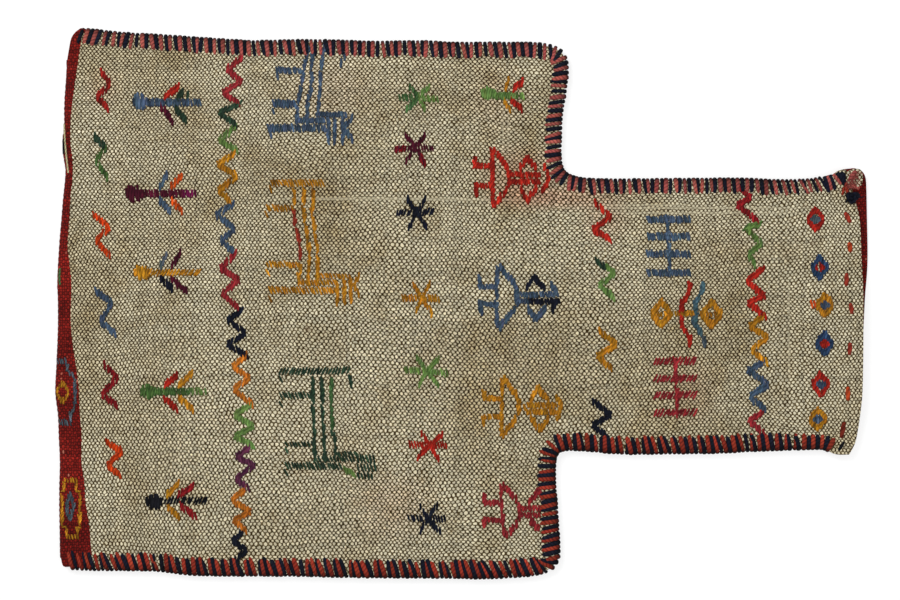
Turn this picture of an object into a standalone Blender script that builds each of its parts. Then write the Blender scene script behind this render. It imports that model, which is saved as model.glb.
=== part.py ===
"""Salt bag with a neck: one flat-woven textile folded at its foot, its sides overcast with yarn.

It lies flat with its patterned face up, the fold at -X and the mouth at +X. Metres, +Z up.
"""

import math

import bmesh
import bpy
from mathutils import Vector
from mathutils.bvhtree import BVHTree
from mathutils.geometry import delaunay_2d_cdt

# Panel sizes
BODY_LENGTH = 0.3465
BODY_WIDTH = 0.3715
NECK_LENGTH = 0.2155
NECK_WIDTH = 0.189
NECK_OFFSET = -0.0057
CORNER_RADIUS = 0.0135
NOTCH_RADIUS = 0.006
EDGE_WANDER = 0.0035
MOUTH_STEP = 0.0055

# Cloth and how it lies
CLOTH_THICKNESS = 0.0018
POUCH_LOFT = 0.0062
PINCH_WIDTH = 0.040
SIDE_GAP = 0.0014
FOLD_BULGE = 0.0042
FOLD_OPENING = 0.55
RED_STRIP_TOP = 0.0065
RED_STRIP_FOOT = 0.0185
WAVE_HEIGHT = 0.0005
WAVE_LENGTH = 0.17

# Two-colour overcast along both sides
OVERCAST_REACH = 0.010
OVERCAST_PAIR = 0.0063
OVERCAST_CREST = 0.0016
OVERCAST_VALLEY = 0.0010
OVERCAST_PRESSED = 0.0011
LOWER_OVERCAST_BARE = 0.013
UPPER_OVERCAST_BARE = 0.005

# Yarn of the motifs, raised on the face
MOTIF_HEIGHT = 0.0010
FINE_LINE = 0.0028
BOLD_LINE = 0.0040
STRIP_LINE = 0.0019
HEM_STITCH = 0.0075

# Motifs: their reach is tied to the panel that they lie on
STAR_ARM = 0.0398 * BODY_LENGTH
STAR_RISE = 0.0253 * BODY_WIDTH
BIRD_LENGTH = 0.1212 * BODY_LENGTH
BIRD_WING = 0.0339 * BODY_WIDTH
DOLL_LENGTH = 0.1183 * BODY_LENGTH
DOLL_SKIRT = 0.1104 * BODY_WIDTH
ANIMAL_LENGTH = 0.1760 * BODY_LENGTH
ANIMAL_HEIGHT = 0.2000 * BODY_WIDTH
ZIGZAG_WIDTH = 0.0242 * BODY_LENGTH
ZIGZAG_RUN = 0.0245 * BODY_WIDTH
BAND_ZIGZAG_WIDTH = 0.0332 * BODY_LENGTH
BAND_ZIGZAG_RUN = 0.0080
NECK_ZIGZAG_WIDTH = 0.0507 * NECK_LENGTH
NECK_ZIGZAG_RUN = 0.0481 * NECK_WIDTH
NECK_BAND_WIDTH = 0.0534 * NECK_LENGTH
COMB_WIDTH = 0.1392 * NECK_LENGTH
COMB_PITCH = 0.0651 * NECK_WIDTH
DIAMOND_WIDTH = 0.0719 * NECK_LENGTH
DIAMOND_HEIGHT = 0.0926 * NECK_WIDTH
LOZENGE_REACH = 0.1367 * NECK_LENGTH
LOZENGE_RISE = 0.1558 * NECK_WIDTH
CARTOUCHE_WIDTH = 0.52 * RED_STRIP_FOOT
CARTOUCHE_HEIGHT = 0.105 * BODY_WIDTH
BRACKET_REACH = 0.60 * RED_STRIP_FOOT
BRACKET_HEIGHT = 0.108 * BODY_WIDTH

# Yarn ends at the corner of the mouth
KNOT_WIDTH = 0.0085
TAIL_LENGTH = 0.0105

GAP = 0.0003
FLOOR_CLEARANCE = 0.0003
MESH_PITCH = 0.040
EDGE_PITCH = 0.024
ARC_STEP = math.radians(15)
FOLD_STEPS = 4
MERGE = 0.00002


def clear_scene():
    for old in list(bpy.data.objects):
        bpy.data.objects.remove(old, do_unlink=True)


def material(name, colour, roughness=0.9):
    surface = bpy.data.materials.get(name) or bpy.data.materials.new(name)
    surface.use_nodes = True
    shader = surface.node_tree.nodes["Principled BSDF"]
    shader.inputs["Base Color"].default_value = (*colour, 1.0)
    shader.inputs["Roughness"].default_value = roughness
    shader.inputs["Metallic"].default_value = 0.0
    return surface


CREAM = (0.40, 0.34, 0.21)
MADDER = (0.27, 0.012, 0.012)
NAVY = (0.007, 0.009, 0.023)
SALMON = (0.45, 0.09, 0.085)
BRICK = (0.32, 0.026, 0.014)
BLUE = (0.07, 0.15, 0.28)
GOLD = (0.58, 0.25, 0.012)
ORANGE = (0.74, 0.13, 0.012)
GREEN = (0.11, 0.31, 0.065)
DARK_GREEN = (0.028, 0.07, 0.036)
MAROON = (0.105, 0.009, 0.03)
CRIMSON = (0.43, 0.04, 0.07)
RED = (0.48, 0.016, 0.016)
BLACK = (0.007, 0.007, 0.008)


def new_object(name, mesh, surfaces, smooth=True):
    thing = bpy.data.objects.new(name, mesh)
    bpy.context.scene.collection.objects.link(thing)
    for surface in surfaces:
        mesh.materials.append(surface)
    if smooth:
        mesh.shade_smooth()
        mesh.set_sharp_from_angle(angle=math.radians(40))
    return thing


# Outline of the bag seen from above
def outline_corners():
    """Corners counter-clockwise from the foot: x, y, fillet radius, edge that starts there."""
    half = BODY_WIDTH / 2
    low = NECK_OFFSET - NECK_WIDTH / 2
    high = NECK_OFFSET + NECK_WIDTH / 2
    mouth = BODY_LENGTH + NECK_LENGTH
    drift = EDGE_WANDER
    return [
        (0.0, -half + drift, CORNER_RADIUS, "side"),
        (0.14 * BODY_LENGTH, -half + drift, 0.0, "side"),
        (0.30 * BODY_LENGTH, -half, 0.0, "side"),
        (0.88 * BODY_LENGTH, -half - 0.2 * drift, 0.0, "side"),
        (BODY_LENGTH - 0.1 * drift, -half, CORNER_RADIUS, "side"),
        (BODY_LENGTH - 0.7 * drift, low, NOTCH_RADIUS, "side"),
        (BODY_LENGTH + 0.25 * NECK_LENGTH, low - 0.4 * drift, 0.0, "side"),
        (BODY_LENGTH + 0.70 * NECK_LENGTH, low, 0.0, "side"),
        (mouth - 2.6 * drift, low + 0.2 * drift, CORNER_RADIUS, "mouth"),
        (mouth - 0.9 * drift, low + 0.32 * NECK_WIDTH, 0.0, "mouth"),
        (mouth, low + 0.60 * NECK_WIDTH, 0.0, "mouth"),
        (mouth, high + 1.9 * drift, CORNER_RADIUS / 2, "side"),
        (mouth - 0.12 * NECK_LENGTH, high + 1.0 * drift, 0.0, "side"),
        (mouth - 0.26 * NECK_LENGTH, high, 0.0, "side"),
        (BODY_LENGTH, high, NOTCH_RADIUS, "side"),
        (BODY_LENGTH + 0.3 * drift, high + 0.18 * BODY_WIDTH, 0.0, "side"),
        (BODY_LENGTH + 1.5 * drift, half - 0.6 * drift, CORNER_RADIUS, "side"),
        (0.60 * BODY_LENGTH, half, 0.0, "side"),
        (0.38 * BODY_LENGTH, half, 0.0, "side"),
        (0.14 * BODY_LENGTH, half + 1.2 * drift, 0.0, "side"),
        (1.6 * drift, half + 1.9 * drift, CORNER_RADIUS, "fold"),
        (1.4 * drift, 0.25 * BODY_WIDTH, 0.0, "fold"),
        (0.0, 0.08 * BODY_WIDTH, 0.0, "fold"),
        (-0.1 * drift, -0.28 * BODY_WIDTH, 0.0, "fold"),
    ]


def fillet(before, corner, after, radius):
    """Points of a round corner, from the edge that comes in to the edge that goes out."""
    towards = (before - corner).normalized()
    away = (after - corner).normalized()
    angle = towards.angle(away)
    shorter = min((before - corner).length, (after - corner).length)
    reach = min(radius / math.tan(angle / 2), 0.45 * shorter)
    radius = reach * math.tan(angle / 2)
    centre = corner + (towards + away).normalized() * radius / math.sin(angle / 2)
    first = corner + towards * reach - centre
    sweep = (math.pi - angle) * (1 if (-towards).cross(away) > 0 else -1)
    steps = max(2, round(abs(sweep) / ARC_STEP))
    points = []
    for step in range(steps + 1):
        turn = sweep * step / steps
        x = first.x * math.cos(turn) - first.y * math.sin(turn)
        y = first.x * math.sin(turn) + first.y * math.cos(turn)
        points.append(centre + Vector((x, y)))
    return points


def outline():
    """Closed outline as a list of (point, kind of the edge that starts at it)."""
    corners = outline_corners()
    places = [Vector(corner[:2]) for corner in corners]
    rounded = []
    for index, (*_, radius, kind) in enumerate(corners):
        previous_kind = corners[index - 1][3]
        if radius == 0.0:
            rounded.append((places[index], kind))
            continue
        arc = fillet(places[index - 1], places[index], places[(index + 1) % len(places)], radius)
        arc_kind = "mouth" if kind == "mouth" or previous_kind == "mouth" else "side"
        rounded += [(point, arc_kind) for point in arc[:-1]]
        rounded.append((arc[-1], kind))
    points = []
    for index, (point, kind) in enumerate(rounded):
        after = rounded[(index + 1) % len(rounded)][0]
        parts = max(1, math.ceil((after - point).length / EDGE_PITCH))
        points += [(point.lerp(after, part / parts), kind) for part in range(parts)]
    start = next(i for i, (_, kind) in enumerate(points) if kind == "side" and points[i - 1][1] == "fold")
    return points[start:] + points[:start]


def segments_of(points, kind):
    following = points[1:] + points[:1]
    return [(a[0], b[0]) for a, b in zip(points, following) if a[1] == kind]


def distance_to(place, segments):
    nearest = math.inf
    for start, end in segments:
        along = end - start
        share = max(0.0, min(1.0, (place - start).dot(along) / along.length_squared))
        nearest = min(nearest, (place - start - along * share).length)
    return nearest


def smooth_step(value):
    value = max(0.0, min(1.0, value))
    return value * value * (3 - 2 * value)


# The folded cloth
EDGE_LIFT = OVERCAST_PRESSED + GAP + FLOOR_CLEARANCE


def layer_heights(place, sewn):
    """Heights of the cloth's four surfaces, from the floor up."""
    from_side = distance_to(place, sewn)
    closed = smooth_step(from_side / PINCH_WIDTH)
    near_fold = FOLD_OPENING + (1 - FOLD_OPENING) * smooth_step(place.x / PINCH_WIDTH)
    wave = WAVE_HEIGHT * closed * near_fold
    turn = math.tau / WAVE_LENGTH
    ripple = wave * math.sin(place.x * turn + 0.8) * math.cos(place.y * turn * 0.8 + 0.4)
    loft = SIDE_GAP + (POUCH_LOFT - SIDE_GAP) * closed * near_fold
    outside_low = EDGE_LIFT * (1 - smooth_step(from_side / (0.7 * PINCH_WIDTH)))
    inside_low = outside_low + CLOTH_THICKNESS
    inside_high = inside_low + loft + ripple
    return outside_low, inside_low, inside_high, inside_high + CLOTH_THICKNESS


def red_boundary():
    """Where the red weave of the back ends on the face, from the top side down."""
    half = BODY_WIDTH / 2
    lean = RED_STRIP_FOOT - RED_STRIP_TOP
    rows = ((0.47, 0.45), (0.38, 0.20), (0.20, 0.0), (0.0, 0.02), (-0.10, 0.15), (-0.20, 0.55), (-0.46, 1.0))
    return [Vector((RED_STRIP_TOP + lean * share, half * 2 * up)) for up, share in rows]


def is_red(x, y):
    line = red_boundary()
    for upper, lower in zip(line, line[1:]):
        if lower.y <= y <= upper.y:
            share = (upper.y - y) / (upper.y - lower.y)
            return x < upper.x + (lower.x - upper.x) * share
    return x < (line[0].x if y > line[0].y else line[-1].x)


def plan_points(points):
    """Boundary, one row beside each sewn edge, and an even grid inside."""
    boundary = [point for point, _ in points]
    sewn = segments_of(points, "side")
    edges = sewn + segments_of(points, "fold") + segments_of(points, "mouth")
    places = list(boundary)
    count = len(boundary)
    for row in (OVERCAST_REACH + 2 * GAP, 0.55 * PINCH_WIDTH):
        for index in range(count):
            tangent = boundary[(index + 1) % count] - boundary[index - 1]
            inward = Vector((-tangent.y, tangent.x)).normalized()
            place = boundary[index] + inward * row
            if distance_to(place, edges) > 0.97 * row:
                crowded = any((place - other).length < 0.4 * EDGE_PITCH for other in places[count:])
                if not crowded:
                    places.append(place)
    total = BODY_LENGTH + NECK_LENGTH
    columns = round(total / MESH_PITCH)
    rows = round(BODY_WIDTH / MESH_PITCH)
    for column in range(1, columns):
        for row in range(1, rows):
            shift = 0.25 if column % 2 else -0.25
            place = Vector((total * column / columns, BODY_WIDTH * ((row + shift) / rows - 0.5)))
            inside_neck = abs(place.y - NECK_OFFSET) < NECK_WIDTH / 2
            if place.x > BODY_LENGTH - CORNER_RADIUS and not inside_neck:
                continue
            if distance_to(place, edges) > 0.55 * PINCH_WIDTH + 0.4 * MESH_PITCH:
                places.append(place)
    return boundary, places


def plan_mesh(points):
    boundary, places = plan_points(points)
    strip = [point for point in red_boundary() if abs(point.y) < BODY_WIDTH / 2 - 2 * OVERCAST_REACH]
    first = len(places)
    places += strip
    lines = [(first + i, first + i + 1) for i in range(len(strip) - 1)]
    ring = [list(range(len(boundary)))]
    found = delaunay_2d_cdt(places, lines, ring, 0, MERGE, True)
    return found[0], [face for face, sources in zip(found[2], found[5]) if sources]


def mouth_shift(place):
    """The face stops short of the back at the mouth, most at its upper corner."""
    depth = 3 * MOUTH_STEP
    near_mouth = smooth_step((place.x - BODY_LENGTH - NECK_LENGTH + depth) / depth)
    low = NECK_OFFSET - 0.32 * NECK_WIDTH
    up = smooth_step((place.y - low) / (0.6 * NECK_WIDTH))
    return MOUTH_STEP * near_mouth * up


def cloth_mesh(points):
    """One closed sheet: the plan's triangles on four levels, joined round the fold and the rims."""
    sewn = segments_of(points, "side")
    plan, triangles = plan_mesh(points)
    count = len(plan)
    levels = [[], [], [], []]
    for place in plan:
        heights = layer_heights(place, sewn)
        for level, height in enumerate(heights):
            x = place.x - (mouth_shift(place) if level >= 2 else 0.0)
            levels[level].append(Vector((x, place.y, height)))
    vertices = [vertex for level in levels for vertex in level]
    low_out, low_in, high_in, high_out = (level * count for level in range(4))
    faces = []
    for a, b, c in triangles:
        faces.append((high_out + a, high_out + b, high_out + c))
        faces.append((high_in + c, high_in + b, high_in + a))
        faces.append((low_in + a, low_in + b, low_in + c))
        faces.append((low_out + c, low_out + b, low_out + a))
    used = set()
    for a, b, c in triangles:
        used |= {(a, b), (b, c), (c, a)}
    rim = [(a, b) for a, b in used if (b, a) not in used]
    fold = segments_of(points, "fold")
    arcs = {}

    def arc_rows(index):
        """Vertices of the outer and inner bend beside one boundary vertex, from high to low."""
        if index in arcs:
            return arcs[index]
        rows = []
        outer = (high_out, low_out, FOLD_BULGE)
        inner = (high_in, low_in, FOLD_BULGE - CLOTH_THICKNESS)
        for upper, lower, bulge in (outer, inner):
            top, foot = vertices[upper + index], vertices[lower + index]
            middle, half = (top.z + foot.z) / 2, (top.z - foot.z) / 2
            row = [upper + index]
            for step in range(1, FOLD_STEPS):
                turn = math.pi * step / FOLD_STEPS
                row.append(len(vertices))
                vertices.append(Vector((top.x - bulge * math.sin(turn), top.y, middle + half * math.cos(turn))))
            rows.append(row + [lower + index])
        arcs[index] = rows
        return rows

    fold_edges = []
    for a, b in rim:
        middle = (plan[a] + plan[b]) / 2
        if distance_to(middle, fold) < 10 * MERGE:
            fold_edges.append((a, b))
            continue
        faces.append((high_out + b, high_out + a, high_in + a, high_in + b))
        faces.append((low_in + b, low_in + a, low_out + a, low_out + b))
    for a, b in fold_edges:
        (outer_a, inner_a), (outer_b, inner_b) = arc_rows(a), arc_rows(b)
        for k in range(FOLD_STEPS):
            faces.append((outer_b[k], outer_a[k], outer_a[k + 1], outer_b[k + 1]))
            faces.append((inner_a[k], inner_b[k], inner_b[k + 1], inner_a[k + 1]))
    starts = {a for a, _ in fold_edges}
    ends = {b for _, b in fold_edges}
    for index in sorted(starts ^ ends):
        outer, inner = arc_rows(index)
        for k in range(FOLD_STEPS):
            side = (outer[k + 1], outer[k], inner[k], inner[k + 1])
            faces.append(side if index in starts else side[::-1])
    mesh = bpy.data.meshes.new("folded_cloth")
    mesh.from_pydata(vertices, [], faces)
    mesh.validate()
    return mesh


def add_cloth(points):
    mesh = cloth_mesh(points)
    cloth = new_object("folded_cloth", mesh, [material("cream_cloth", CREAM), material("red_cloth", MADDER)])
    middle_height = CLOTH_THICKNESS + POUCH_LOFT / 4
    for face in mesh.polygons:
        centre = face.center
        face.material_index = int(centre.z < middle_height or is_red(centre.x, centre.y))
    return cloth


class ClothFace:
    """Heights of the folded cloth's upper and lower faces."""

    def __init__(self, cloth, points):
        self.tree = BVHTree.FromObject(cloth, bpy.context.evaluated_depsgraph_get())
        self.sewn = segments_of(points, "side")

    def above(self, x, y):
        hit = self.tree.ray_cast(Vector((x, y, 0.1)), Vector((0, 0, -1)))[0]
        return hit.z if hit else self.tree.find_nearest(Vector((x, y, 0.02)))[0].z

    def below(self, x, y):
        hit = self.tree.ray_cast(Vector((x, y, -0.1)), Vector((0, 0, 1)))[0]
        return hit.z if hit else self.tree.find_nearest(Vector((x, y, -0.02)))[0].z

    def from_sides(self, place):
        return distance_to(place, self.sewn)


# Overcast yarn round both layers' edges
def sewn_run(points, upper):
    """Polyline of one sewn side, counter-clockwise: foot to mouth below, mouth to foot above."""
    runs = []
    for index, (point, kind) in enumerate(points):
        if kind == "side":
            if points[index - 1][1] != "side" or not runs:
                runs.append([point])
            runs[-1].append(points[(index + 1) % len(points)][0])
    return runs[1] if upper else runs[0]


def point_along(line, travel):
    for start, end in zip(line, line[1:]):
        length = (end - start).length
        if travel <= length:
            return start.lerp(end, travel / length)
        travel -= length
    return line[-1].copy()


def overcast_section(face, place, inward, crest):
    """Eight points of the wrap's section, from its inner end on the face round to the back."""
    thick = OVERCAST_CREST if crest else OVERCAST_VALLEY
    pressed = min(thick, OVERCAST_PRESSED)
    reach = OVERCAST_REACH if crest else OVERCAST_REACH - OVERCAST_VALLEY
    inner = place + inward * reach
    on_edge = place + inward * GAP
    edge_top = face.above(*on_edge) + GAP
    edge_foot = face.below(*on_edge) - GAP
    inner_top = face.above(*inner) + GAP
    inner_foot = face.below(*inner) - GAP
    outer = -GAP - thick
    profile = (
        (reach, inner_top),
        (reach - OVERCAST_VALLEY, inner_top + thick),
        (-GAP, edge_top + thick),
        (outer, (edge_top + edge_foot) / 2),
        (-GAP, edge_foot - pressed),
        (reach, inner_foot),
        (-GAP, edge_foot),
        (-GAP, edge_top),
    )
    return [(*(place + inward * depth), height) for depth, height in profile]


def add_overcast(name, points, face, upper, bare_start, bare_end, colours):
    line = sewn_run(points, upper)
    total = sum((b - a).length for a, b in zip(line, line[1:])) - bare_start - bare_end
    pairs = max(4, round(total / OVERCAST_PAIR))
    stations = 2 * pairs + 1
    span = 0.5 * OVERCAST_PAIR
    vertices = []
    for station in range(stations):
        travel = bare_start + total * station / (stations - 1)
        place = point_along(line, travel)
        tangent = point_along(line, travel + span) - point_along(line, max(0.0, travel - span))
        inward = Vector((-tangent.y, tangent.x)).normalized()
        vertices += overcast_section(face, place, inward, crest=station % 2 == 1)
    size = len(vertices) // stations
    faces = [tuple(range(size))]
    slots = [0]
    for station in range(stations - 1):
        low, high = station * size, (station + 1) * size
        for k in range(size):
            after = (k + 1) % size
            faces.append((low + after, low + k, high + k, high + after))
            slots.append(station % 2)
    last = (stations - 1) * size
    faces.append(tuple(last + k for k in reversed(range(size))))
    slots.append(0)
    mesh = bpy.data.meshes.new(name)
    mesh.from_pydata(vertices, [], faces)
    make_outward(mesh)
    band = new_object(name, mesh, colours, smooth=False)
    for polygon, slot in zip(mesh.polygons, slots):
        polygon.material_index = slot
    return band


def make_outward(mesh):
    """Split to triangles and turn every face outward."""
    work = bmesh.new()
    work.from_mesh(mesh)
    bmesh.ops.triangulate(work, faces=work.faces[:])
    bmesh.ops.recalc_face_normals(work, faces=work.faces[:])
    if work.calc_volume(signed=True) < 0:
        bmesh.ops.reverse_faces(work, faces=work.faces[:])
    work.to_mesh(mesh)
    work.free()


# Raised motifs: strokes of yarn merged to one flat shape that follows the cloth
def on_body(along, down):
    """A place on the body: share of its length from the foot, share of its width from the top."""
    return Vector((along * BODY_LENGTH, (0.5 - down) * BODY_WIDTH))


def on_neck(along, down):
    return Vector((BODY_LENGTH + along * NECK_LENGTH, NECK_OFFSET + (0.5 - down) * NECK_WIDTH))


def stroke_sides(line, width):
    """Right and left edge of a stroke, mitred at its bends and closed if its ends meet."""
    closed = (line[0] - line[-1]).length < MERGE
    right, left = [], []
    for index, place in enumerate(line):
        before = line[index - 1] if index else (line[-2] if closed else place)
        after = line[index + 1] if index + 1 < len(line) else (line[1] if closed else place)
        coming = (place - before if before is not place else after - place).normalized()
        going = (after - place if after is not place else place - before).normalized()
        mean = (coming + going).normalized()
        stretch = min(1.7, 1 / max(0.1, mean.dot(going)))
        aside = Vector((-mean.y, mean.x)) * stretch * width / 2
        right.append(place - aside)
        left.append(place + aside)
    if closed:
        right[-1], left[-1] = right[0], left[0]
    return right, left


def stroke_shapes(strokes, centre):
    """Four-cornered pieces of every stroke, edge to edge along it."""
    shapes = []
    for width, line in strokes:
        right, left = stroke_sides([Vector(point) + centre for point in line], width)
        for k in range(len(line) - 1):
            shapes.append([right[k], right[k + 1], left[k + 1], left[k]])
    return shapes


def largest_part(triangles):
    """Triangles of the largest group that hangs together by its edges."""
    by_edge = {}
    for index, (a, b, c) in enumerate(triangles):
        for edge in ((a, b), (b, c), (c, a)):
            by_edge.setdefault(frozenset(edge), []).append(index)
    beside = {index: set() for index in range(len(triangles))}
    for group in by_edge.values():
        for index in group:
            beside[index] |= set(group)
    left, best = set(beside), []
    while left:
        reached, stack = set(), [min(left)]
        while stack:
            index = stack.pop()
            if index not in reached:
                reached.add(index)
                stack += sorted(beside[index] - reached)
        left -= reached
        if len(reached) > len(best):
            best = sorted(reached)
    return [triangles[index] for index in best]


def simplified(flat, triangles):
    """The same flat shape with only the corners that its outline needs."""
    work = bmesh.new()
    corners = {k: work.verts.new((*flat[k], 0.0)) for k in sorted({k for t in triangles for k in t})}
    for triangle in triangles:
        work.faces.new([corners[k] for k in triangle])
    bmesh.ops.dissolve_limit(work, angle_limit=math.radians(3), verts=work.verts[:], edges=work.edges[:])
    bmesh.ops.triangulate(work, faces=work.faces[:])
    work.verts.index_update()
    places = [vertex.co.xy for vertex in work.verts]
    found = []
    for face in work.faces:
        if face.calc_area() > MERGE * MERGE:
            found.append(tuple(vertex.index for vertex in face.verts))
    work.free()
    return places, found


class MotifMaker:
    """Lays motifs on the face one by one, each cut back to just inside the overcast."""

    def __init__(self, face, points):
        self.face = face
        self.margin = OVERCAST_REACH + 2 * GAP
        self.limit = self.margin_lines(points)

    def margin_lines(self, points):
        """Lines just inside the overcast, carried round the ends of each sewn run."""
        lines = []
        room = self.margin + GAP
        for upper in (False, True):
            run = sewn_run(points, upper)
            row = []
            for before, place, after in zip(run, run[1:], run[2:]):
                tangent = after - before
                inward = Vector((-tangent.y, tangent.x)).normalized()
                row.append(place + inward * room)
            for end, beside, sign in ((run[0], run[1], 1), (run[-1], run[-2], -1)):
                away = (end - beside).normalized()
                inward = Vector((away.y, -away.x)) * sign
                turns = [math.pi / 2 * step / 6 for step in range(7)]
                fan = [end + (inward * math.cos(turn) + away * math.sin(turn)) * room for turn in turns]
                row = fan[::-1] + row if sign == 1 else row + fan
            lines += list(zip(row, row[1:]))
        return lines

    def add(self, name, colour_name, colour, centre, strokes):
        shapes = stroke_shapes(strokes, centre)
        corners = [corner for shape in shapes for corner in shape]
        low = Vector((min(c.x for c in corners), min(c.y for c in corners)))
        high = Vector((max(c.x for c in corners), max(c.y for c in corners)))
        places, faces, lines = list(corners), [], []
        for index in range(len(shapes)):
            faces.append(list(range(4 * index, 4 * index + 4)))
        for a, b in self.limit:
            outside = max(a.x, b.x) < low.x or min(a.x, b.x) > high.x
            outside = outside or max(a.y, b.y) < low.y or min(a.y, b.y) > high.y
            if not outside:
                lines.append((len(places), len(places) + 1))
                places += [a, b]
        found = delaunay_2d_cdt(places, lines, faces, 0, MERGE, True)
        flat, triangles = found[0], []
        for triangle, sources in zip(found[2], found[5]):
            middle = sum((flat[k] for k in triangle), Vector((0, 0))) / 3
            if sources and self.face.from_sides(middle) > self.margin:
                triangles.append(tuple(triangle))
        flat, triangles = simplified(flat, largest_part(triangles))
        mesh = self.raised_mesh(name, flat, triangles)
        new_object(name, mesh, [material(colour_name, colour)], smooth=False)

    def raised_mesh(self, name, flat, triangles):
        numbers = {}
        for triangle in triangles:
            for k in triangle:
                numbers.setdefault(k, len(numbers))
        count = len(numbers)
        floor = []
        for k in numbers:
            x, y = flat[k]
            floor.append(Vector((x, y, self.face.above(x, y) + GAP)))
        self.lift_over_ridges(floor, [[numbers[k] for k in triangle] for triangle in triangles])
        vertices = floor + [place + Vector((0, 0, MOTIF_HEIGHT)) for place in floor]
        faces, directed = [], set()
        for triangle in triangles:
            a, b, c = (numbers[k] for k in triangle)
            faces += [(a + count, b + count, c + count), (c, b, a)]
            directed |= {(a, b), (b, c), (c, a)}
        for a, b in sorted(directed):
            if (b, a) not in directed:
                faces.append((a, b, b + count, a + count))
        mesh = bpy.data.meshes.new(name)
        mesh.from_pydata(vertices, [], faces)
        make_outward(mesh)
        return mesh

    def lift_over_ridges(self, floor, triangles):
        """Raise corners where the straight edge between two of them would cut into the cloth."""
        edges = {tuple(sorted(pair)) for a, b, c in triangles for pair in ((a, b), (b, c), (c, a))}
        raised = [0.0] * len(floor)
        for a, b in sorted(edges):
            for share in (0.2, 0.4, 0.6, 0.8):
                place = floor[a].lerp(floor[b], share)
                short = self.face.above(place.x, place.y) + GAP - place.z
                for k in (a, b):
                    raised[k] = max(raised[k], short)
        for k, rise in enumerate(raised):
            floor[k].z += rise


def zigzag(runs, width, run, line):
    points = []
    for index in range(runs + 1):
        side = -0.5 if index % 2 == 0 else 0.5
        points.append((side * width, (runs / 2 - index) * run))
    return [(line, points)]


def ring(width, height, line, corners=4):
    points = []
    for index in range(corners + 1):
        turn = math.tau * index / corners
        points.append((width / 2 * math.cos(turn), height / 2 * math.sin(turn)))
    return [(line, points)]


def sized(strokes, length, height):
    """Strokes given in shares of a motif's length and height, at their real size."""
    return [(width, [(x * length, y * height) for x, y in line]) for width, line in strokes]


def bird(share):
    """Round head to the left, a straight body and two pairs of swept wings."""
    length, wing = share * BIRD_LENGTH, share * BIRD_WING
    head = 0.25 * length - FINE_LINE
    strokes = ring(head, head, share * FINE_LINE, corners=6)
    strokes.append((1.4 * share * BOLD_LINE, [(head / 2, 0), (length, 0)]))
    for root in (0.41, 0.61):
        for side in (1, -1):
            tip = (root + 0.19) * length, side * wing
            strokes.append((share * FINE_LINE, [(root * length, 0), tip]))
    return strokes


def star():
    """A level bar crossed by two slanted ones."""
    bars = [
        (BOLD_LINE, [(-1.06, 0), (0.94, 0)]),
        (FINE_LINE, [(-0.5, -1), (0.5, 1)]),
        (FINE_LINE, [(-0.5, 1), (0.5, -1)]),
    ]
    return sized(bars, STAR_ARM, STAR_RISE)


def doll():
    """A figure lying with its feet to the left: legs, skirt, trunk, arms and hat."""
    figure = [
        (FINE_LINE, [(0, 0.5), (0, -0.5)]),
        (BOLD_LINE, [(0, 0.5), (0.29, 0.16), (0.29, -0.14), (0, -0.5)]),
        (2 * BOLD_LINE, [(0.29, 0), (0.88, 0)]),
        (FINE_LINE, [(0.86, 0.25), (0.95, 0)]),
        (FINE_LINE, [(0.95, 0), (0.86, -0.25)]),
    ]
    for side in (1, -1):
        figure.append((BOLD_LINE, [(-0.29, side * 0.16), (0, side * 0.16)]))
        figure.append((FINE_LINE, [(-0.29, side * 0.16), (-0.29, side * 0.29)]))
        figure.append((FINE_LINE, [(0.45, 0), (0.60, side * 0.34), (0.75, 0)]))
    return sized(figure, DOLL_LENGTH, DOLL_SKIRT)


def comb():
    """Four level bars on one upright."""
    strokes = [(BOLD_LINE, [(-0.05 * COMB_WIDTH, 1.5 * COMB_PITCH), (0.05 * COMB_WIDTH, -1.5 * COMB_PITCH)])]
    for index in range(4):
        level = (1.5 - index) * COMB_PITCH
        strokes.append((BOLD_LINE, [(-COMB_WIDTH / 2, level), (COMB_WIDTH / 2, level)]))
    return strokes


def paired_lozenges():
    """Two lozenges on one bar, with two bent lines that cross it."""
    strokes = [(FINE_LINE, [(-1, 0), (1, 0)])]
    for side in (-1, 1):
        lozenge = [(0.7, 0), (0.9, 0.18), (1.1, 0), (0.9, -0.18), (0.7, 0)]
        strokes.append((FINE_LINE, [(side * x, y) for x, y in lozenge]))
        crank = [(0.06, 0.78), (0, 0.35), (0, -0.3), (0, -0.75)]
        strokes.append((BOLD_LINE, [(side * 0.24 + x, y) for x, y in crank]))
    return sized(strokes, LOZENGE_REACH, LOZENGE_RISE)


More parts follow.
